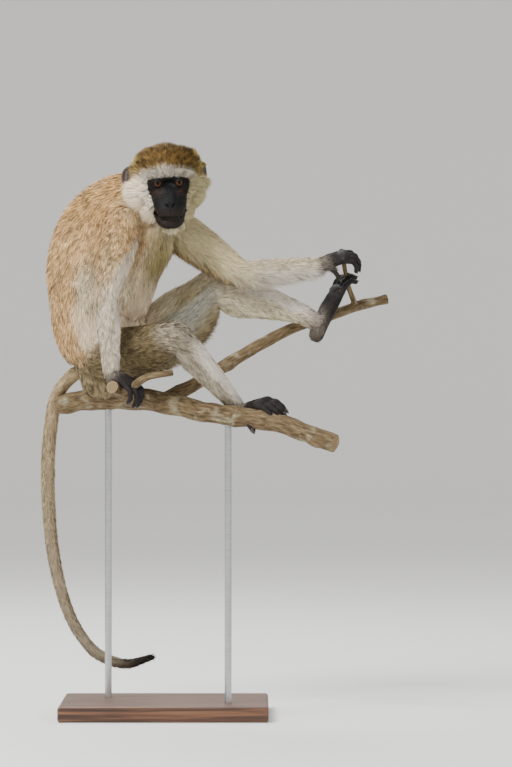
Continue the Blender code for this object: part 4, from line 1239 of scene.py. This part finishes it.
def hair_build(points, normals, says):
    """Length, half width and lift of the hair at each point."""
    traits = np.array([FUR[part.rsplit("_", 1)[0] if "_" in part else part] for part in PARTS], float)
    length, width, lift = (says[:, :, None] * traits[:, None, :]).sum(0).T
    h = head_points(points)
    a, f, u = np.abs(h[:, 0]), h[:, 1], h[:, 2]
    head = says[PARTS.index("head")]
    brow = head * rise(f, -14, -4) * rise(u, 2, 8)
    cheek = head * rise(-u, -2, 8) * rise(f, -34, -22) * rise(a, 14, 24)
    temple = head * rise(u, -4, 6) * (1 - rise(u, 34, 44)) * rise(a, 30, 40)
    chin = head * rise(-u, 50, 58)
    left = rise(h[:, 0], -6, 6)
    low = rise(-u, 18, 40)
    length = length + cheek * (14 - 11 * left) * (1 - 0.7 * low) - brow * 6 - chin * 3
    length = length + temple * (3 - 8 * left)
    length = length + head * low * (4 - 12 * left) * (1 - chin)
    length = length * (1 - 0.5 * head * left * rise(a, 42, 50) * rise(u, 2, 12))
    lift = lift + brow * 6 - cheek * (6 - 8 * left) + chin * 12 + temple * (5 - 13 * left)
    lift = lift - head * rise(-f, 50, 70) * 12
    on_ear = head * ear_share(h)
    length = length * (1 - 0.62 * on_ear)
    lift = lift - 22 * on_ear
    edge = head * face_share(h, 4, 3) * rise(u, -60, -50)
    length = length * (1 - 0.45 * edge)
    rump = says[PARTS.index("trunk")] * (1 - rise(points[:, 2], 500, 545))
    length = length * (1 - 0.35 * rump)
    # Long pale hair hangs from the underside of the raised arm and thigh.
    left_arm = says[PARTS.index("forearm_left")] + says[PARTS.index("upper_arm_left")]
    left_thigh = says[PARTS.index("thigh_left")]
    hang = rise(-normals[:, 2], 0.15, 0.8) * (left_arm + 0.8 * left_thigh)
    length = length + 7 * hang
    lift = lift + 8 * hang
    return length, width, lift, hang


root_corners, root_normals, root_map = unwrapped_roots()
root_middles = root_corners.mean(1)
crossed = np.cross(root_corners[:, 1] - root_corners[:, 0], root_corners[:, 2] - root_corners[:, 0])
root_areas = np.linalg.norm(crossed, axis=1) / 2
middle_says, _, middle_outs, _ = parts_at(root_middles)
root_part = np.array(PARTS, dtype=object)[middle_says.argmax(0)]
_, _, root_bare = markings(root_middles)


def soft_fur():
    """Fur: soft hair that scatters light along its length, dull, with a faint bloom at grazing angles."""
    fur = blank("dense_soft_fur")
    tint = add(fur, "ShaderNodeAttribute", attribute_name="tint").outputs["Color"]
    surface = {"Base Color": tint, "Roughness": 0.62, "Specular IOR Level": 0.12}
    surface |= {"Sheen Weight": 0.04, "Sheen Roughness": 0.5}
    shader = add(fur, "ShaderNodeBsdfPrincipled", surface)
    add(fur, "ShaderNodeOutputMaterial", {"Surface": shader.outputs[0]})
    return fur


# Where a tuft's two pairs of corners and its point lie along it, and how wide it is there.
JOINTS = np.array([0.0, 0.45, 1.0])
PROFILE = np.interp(JOINTS, [0, 0.3, 0.7, 1], [0.8, 1.0, 0.6, 0.0])
TUFT_CORNERS = ((0, -1), (0, 1), (1, -1), (1, 1), (2, 0))
TUFT_FACES = np.array([(0, 1, 3), (0, 3, 2), (2, 3, 4)])
# How deep it is rooted, how far it leans to its lock's middle for each millimetre from it, and half the
# size of its place on the map.
ROOT_DEPTH, LEAN, PATCH = 0.8, 0.4, 0.0015


def rooted(rng, chosen, count):
    """Places for that many tufts on the chosen faces: the root, the skin's normal, the place on the map,
    and the colour and ticking of the hair there."""
    weight = np.where(chosen, root_areas, 0)
    # More than wanted are drawn, since those that fall on bare skin are left out.
    faces = rng.choice(len(weight), int(count * 1.25), p=weight / weight.sum())
    share = rng.random((len(faces), 2))
    over = share.sum(1) > 1
    share[over] = 1 - share[over]
    bary = np.column_stack([1 - share.sum(1), share])
    roots = (root_corners[faces] * bary[:, :, None]).sum(1)
    # Each tuft takes the colour of a place close by, so that the markings run into each other.
    colour, ticks, _ = markings(roots + rng.normal(0, 1.5, roots.shape), hair=True)
    bare = markings(roots, hair=True)[2]
    kept = np.nonzero(bare < rng.uniform(0.25, 0.55, len(faces)))[0][:count]
    faces, bary = faces[kept], bary[kept]
    normals = (root_normals[faces] * bary[:, :, None]).sum(1)
    normals /= np.linalg.norm(normals, axis=1)[:, None]
    at_map = (root_map[faces] * bary[:, :, None]).sum(1)
    return roots[kept], normals, at_map, colour[kept], ticks[kept]


def into_locks(rng, roots, size):
    """Hair stands in locks, each on its own small patch of skin: the way from each root to the middle of
    its lock, and a number drawn for the lock."""
    key = np.floor((roots + 2.5 * np.column_stack([ripple(roots, 11, s) for s in (41, 42, 43)])) / size)
    _, lock = np.unique(key, axis=0, return_inverse=True)
    lock = lock.ravel()
    middles = np.zeros((lock.max() + 1, 3))
    np.add.at(middles, lock, roots)
    middles /= np.bincount(lock)[:, None]
    return middles[lock] - roots, rng.normal(0, 1, lock.max() + 1)[lock]


def tuft_mesh(name, verts, tints, shade, maps):
    """The mesh of many tufts, from lists that hold each corner of a tuft in turn, for all the tufts."""
    count, each = len(verts[0]), len(verts)
    verts, tints, shade, maps = (
        np.stack(rows, 1).reshape(count * each, -1) for rows in (verts, tints, shade, maps)
    )
    tris = (np.arange(count)[:, None, None] * each + TUFT_FACES[None]).reshape(-1)
    mesh = bpy.data.meshes.new(name)
    mesh.vertices.add(len(verts))
    mesh.vertices.foreach_set("co", (verts * MM).astype(np.float32).ravel())
    mesh.loops.add(len(tris))
    mesh.loops.foreach_set("vertex_index", tris.astype(np.int32))
    mesh.polygons.add(len(tris) // 3)
    mesh.polygons.foreach_set("loop_start", np.arange(0, len(tris), 3, dtype=np.int32))
    mesh.update(calc_edges=True)
    store(mesh, "tint", np.column_stack([np.clip(tints, 0, 1), np.ones(len(tints))]))
    mesh.uv_layers.new(name="OFBake").data.foreach_set("uv", maps[tris].astype(np.float32).ravel())
    mesh.shade_smooth()
    mesh.normals_split_custom_set_from_vertices(shade.tolist())
    return mesh


def grown_coat(name, chosen, count, seed):
    """One piece of coat over the chosen faces of the skin, with that many tufts."""
    rng = np.random.default_rng(seed)
    roots, normals, at_map, colour, ticks = rooted(rng, chosen, count)
    count = len(roots)
    lie, says = hair_lie(roots, normals)
    length, width, lift, hang = hair_build(roots, normals, says)
    length = length * rng.uniform(0.65, 1.15, count)
    width = width * rng.uniform(0.75, 1.25, count) * 1
    lift = np.radians(np.clip(lift + rng.normal(0, 5.0, count), 2, 80))
    to_middle, lock_draw = into_locks(rng, roots, 3.0 if "hand" in name else 4.3)
    lean = to_middle * LEAN
    lean -= normals * (lean * normals).sum(1)[:, None]
    swirl = rng.normal(0, 0.15, (count, 3))
    lie = lie + swirl - normals * (swirl * normals).sum(1)[:, None]
    lie /= np.linalg.norm(lie, axis=1)[:, None]
    roll = np.radians(rng.uniform(-55, 55, count))
    place = roots - normals * ROOT_DEPTH
    centres, ways = [place], []
    for low, high in zip(JOINTS, JOINTS[1:]):
        middle = (low + high) / 2
        bend = lift * (1.05 - 0.75 * middle)
        way = lie * np.cos(bend)[:, None] + normals * np.sin(bend)[:, None]
        way = way + lean / length[:, None] * (0.6 + middle)
        way[:, 2] -= hang * 1.1 * middle
        way /= np.linalg.norm(way, axis=1)[:, None]
        place = place + way * (length * (high - low))[:, None]
        centres.append(place)
        ways.append(way)
    ways.append(ways[-1])
    across = np.cross(lie, normals)
    across = across * np.cos(roll)[:, None] + normals * np.sin(roll)[:, None]
    dark_tipped = rng.random(count) < ticks * np.clip(0.42 - 0.35 * lock_draw, 0.04, 0.95)
    head = says[PARTS.index("head")]
    by_tuft = rng.normal(0, 1, count) * (0.07 + 0.13 * ticks + 0.05 * head)
    by_lock = lock_draw * (0.03 + (0.13 + 0.12 * head) * ticks)
    tone = np.clip(1 + by_tuft + by_lock, 0.4, 1.7)[:, None]
    # Narrow black hair is mixed in along the upper and side edges of the face.
    h = head_points(roots)
    edge = face_share(h, 0.0, 3.0) * head * rise(h[:, 2], -44, -36) * (0.45 + 0.4 * rise(h[:, 2], 0, 6))
    black = edge > rng.uniform(0, 1, count)
    colour = np.where(black[:, None], np.array(linear("#1c1817")), colour)
    ticks = np.where(black, 0, ticks)
    width = width * np.where(black, 0.7, 1.0)
    # Ticked hair is darker at its root, and its tip is black or pale.
    at_root = colour * (0.72 - 0.22 * ticks - (0.1 + 0.15 * ticks) * head)[:, None]
    at_tip = colour * (1.06 + (0.5 + 0.15 * head) * ticks)[:, None]
    at_tip = mixed(at_tip, "#cdb27c", (0.18 - 0.1 * head) * ticks)
    at_tip = np.where(dark_tipped[:, None], colour * 0.26, at_tip)
    verts, tints, shade, maps = [], [], [], []
    for i, hand in TUFT_CORNERS:
        joint = np.full(count, JOINTS[i])
        now = mixed(at_root, colour, rise(joint, 0.0, 0.5))
        now = mixed(now, at_tip, rise(joint, 0.45, 0.95)) * tone
        soft = normals * 0.68 + ways[i] * 0.14 + np.cross(across, ways[i]) * 0.5
        soft /= np.linalg.norm(soft, axis=1)[:, None]
        verts.append(centres[i] + across * (width * PROFILE[i] * hand)[:, None])
        tints.append(now)
        shade.append(soft)
        maps.append(at_map + np.array([hand * PATCH * 0.9, (JOINTS[i] - 0.5) * 2 * PATCH]))
    made = bpy.data.objects.new(name, tuft_mesh(name, verts, tints, shade, maps))
    world.objects.link(made)
    made.data.materials.append(dense_fur)
    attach(made, "root")


dense_fur = soft_fur()
furred = root_bare < 0.97
on_trunk = root_part == "trunk"
front_side = middle_outs[PARTS.index("trunk")] @ TRUNK_FRONT
on_head = root_part == "head"
above = head_points(root_middles)[:, 2] > 4
# Each patch of coat: the faces it grows on, how many tufts it has, and its material's slot.
patches = {
    "coat_back": (on_trunk & (front_side <= -0.3), 52000, "coat"),
    "coat_flanks": (on_trunk & (front_side > -0.3) & (front_side <= 0.35), 52000, "coat"),
    "coat_chest": (on_trunk & (front_side > 0.35), 30000, "coat"),
    "coat_crown": (on_head & above, 48000, "coat"),
    "coat_cheeks": (on_head & ~above, 52000, "coat"),
    "coat_tail": (root_part == "tail", 28000, "coat"),
}
for side in SIDES:
    arm = np.isin(root_part, [f"upper_arm_{side}", f"forearm_{side}"])
    leg = np.isin(root_part, [f"thigh_{side}", f"shank_{side}"])
    patches[f"coat_arm_{side}"] = (arm, 42000, "pale_coat")
    patches[f"coat_leg_{side}"] = (leg, 48000, "pale_coat")
for number, (name, (chosen, count, slot)) in enumerate(patches.items()):
    grown_coat(name, chosen & furred, count, 100 + number)
short = np.isin(root_part, [f"{kind}_{side}" for kind in ("hand", "foot") for side in SIDES])
grown_coat("coat_hands_and_feet", short & furred, 18000, 120)


# ---- Floor, light and camera ----
# A plain pale floor that rises into a low round wall far off on every side, under large soft lamps: one
# high on the left, a wide fill, and one behind.

pale = blank("matt_pale_floor")
paint = add(pale, "ShaderNodeBsdfPrincipled", {"Base Color": (*linear("#efeeec"), 1), "Roughness": 0.9})
add(pale, "ShaderNodeOutputMaterial", {"Surface": paint.outputs[0]})
sweep = bmesh.new()
# The wall stands 11.5 m off and 3.2 m high, on a bend of 2.5 m.
BEND = 2.5
rises = [math.radians(a) for a in range(0, 91, 10)]
profile = [(9 + BEND * math.sin(a), BEND - BEND * math.cos(a)) for a in rises] + [(11.5, 3.2)]
turns = [math.tau * k / 72 for k in range(72)]
rows = []
for reach, height in profile:
    rows.append([sweep.verts.new((reach * math.cos(t), reach * math.sin(t), height)) for t in turns])
sweep.faces.new(rows[0])
for near, far in zip(rows, rows[1:]):
    for k in range(len(turns)):
        m = (k + 1) % len(turns)
        sweep.faces.new((near[k], near[m], far[m], far[k]))
floor = mesh_object("floor", sweep)
floor.data.shade_smooth()
floor.data.materials.append(pale)

for name, place, power, size in (
    ("key_lamp", (-1.5, -1.7, 2.6), 125, 1.1),
    ("fill_lamp", (2.6, -3.0, 1.6), 22, 2.4),
    ("back_lamp", (-0.6, 1.7, 2.6), 60, 1.4),
):
    lamp = bpy.data.objects.new(name, bpy.data.lights.new(name, "AREA"))
    world.objects.link(lamp)
    lamp.data.energy = power
    lamp.data.size = size
    lamp.location = place
    lamp.rotation_euler = (Vector((0, 0, 0.6)) - lamp.location).to_track_quat("-Z", "Y").to_euler()
sky = bpy.data.worlds.new("studio_air")
bpy.context.scene.world = sky
sky.use_nodes = True
sky.node_tree.nodes["Background"].inputs["Color"].default_value = (*linear("#e4e4e2"), 1)
sky.node_tree.nodes["Background"].inputs["Strength"].default_value = 1.1

camera = bpy.data.objects.new("camera", bpy.data.cameras.new("camera"))
world.objects.link(camera)
camera.location = (0.132, -5.0, 0.481)
camera.rotation_euler = (math.radians(90), 0, 0)
camera.data.sensor_fit = "VERTICAL"
camera.data.sensor_height = 36
camera.data.lens = 161.8
bpy.context.scene.camera = camera
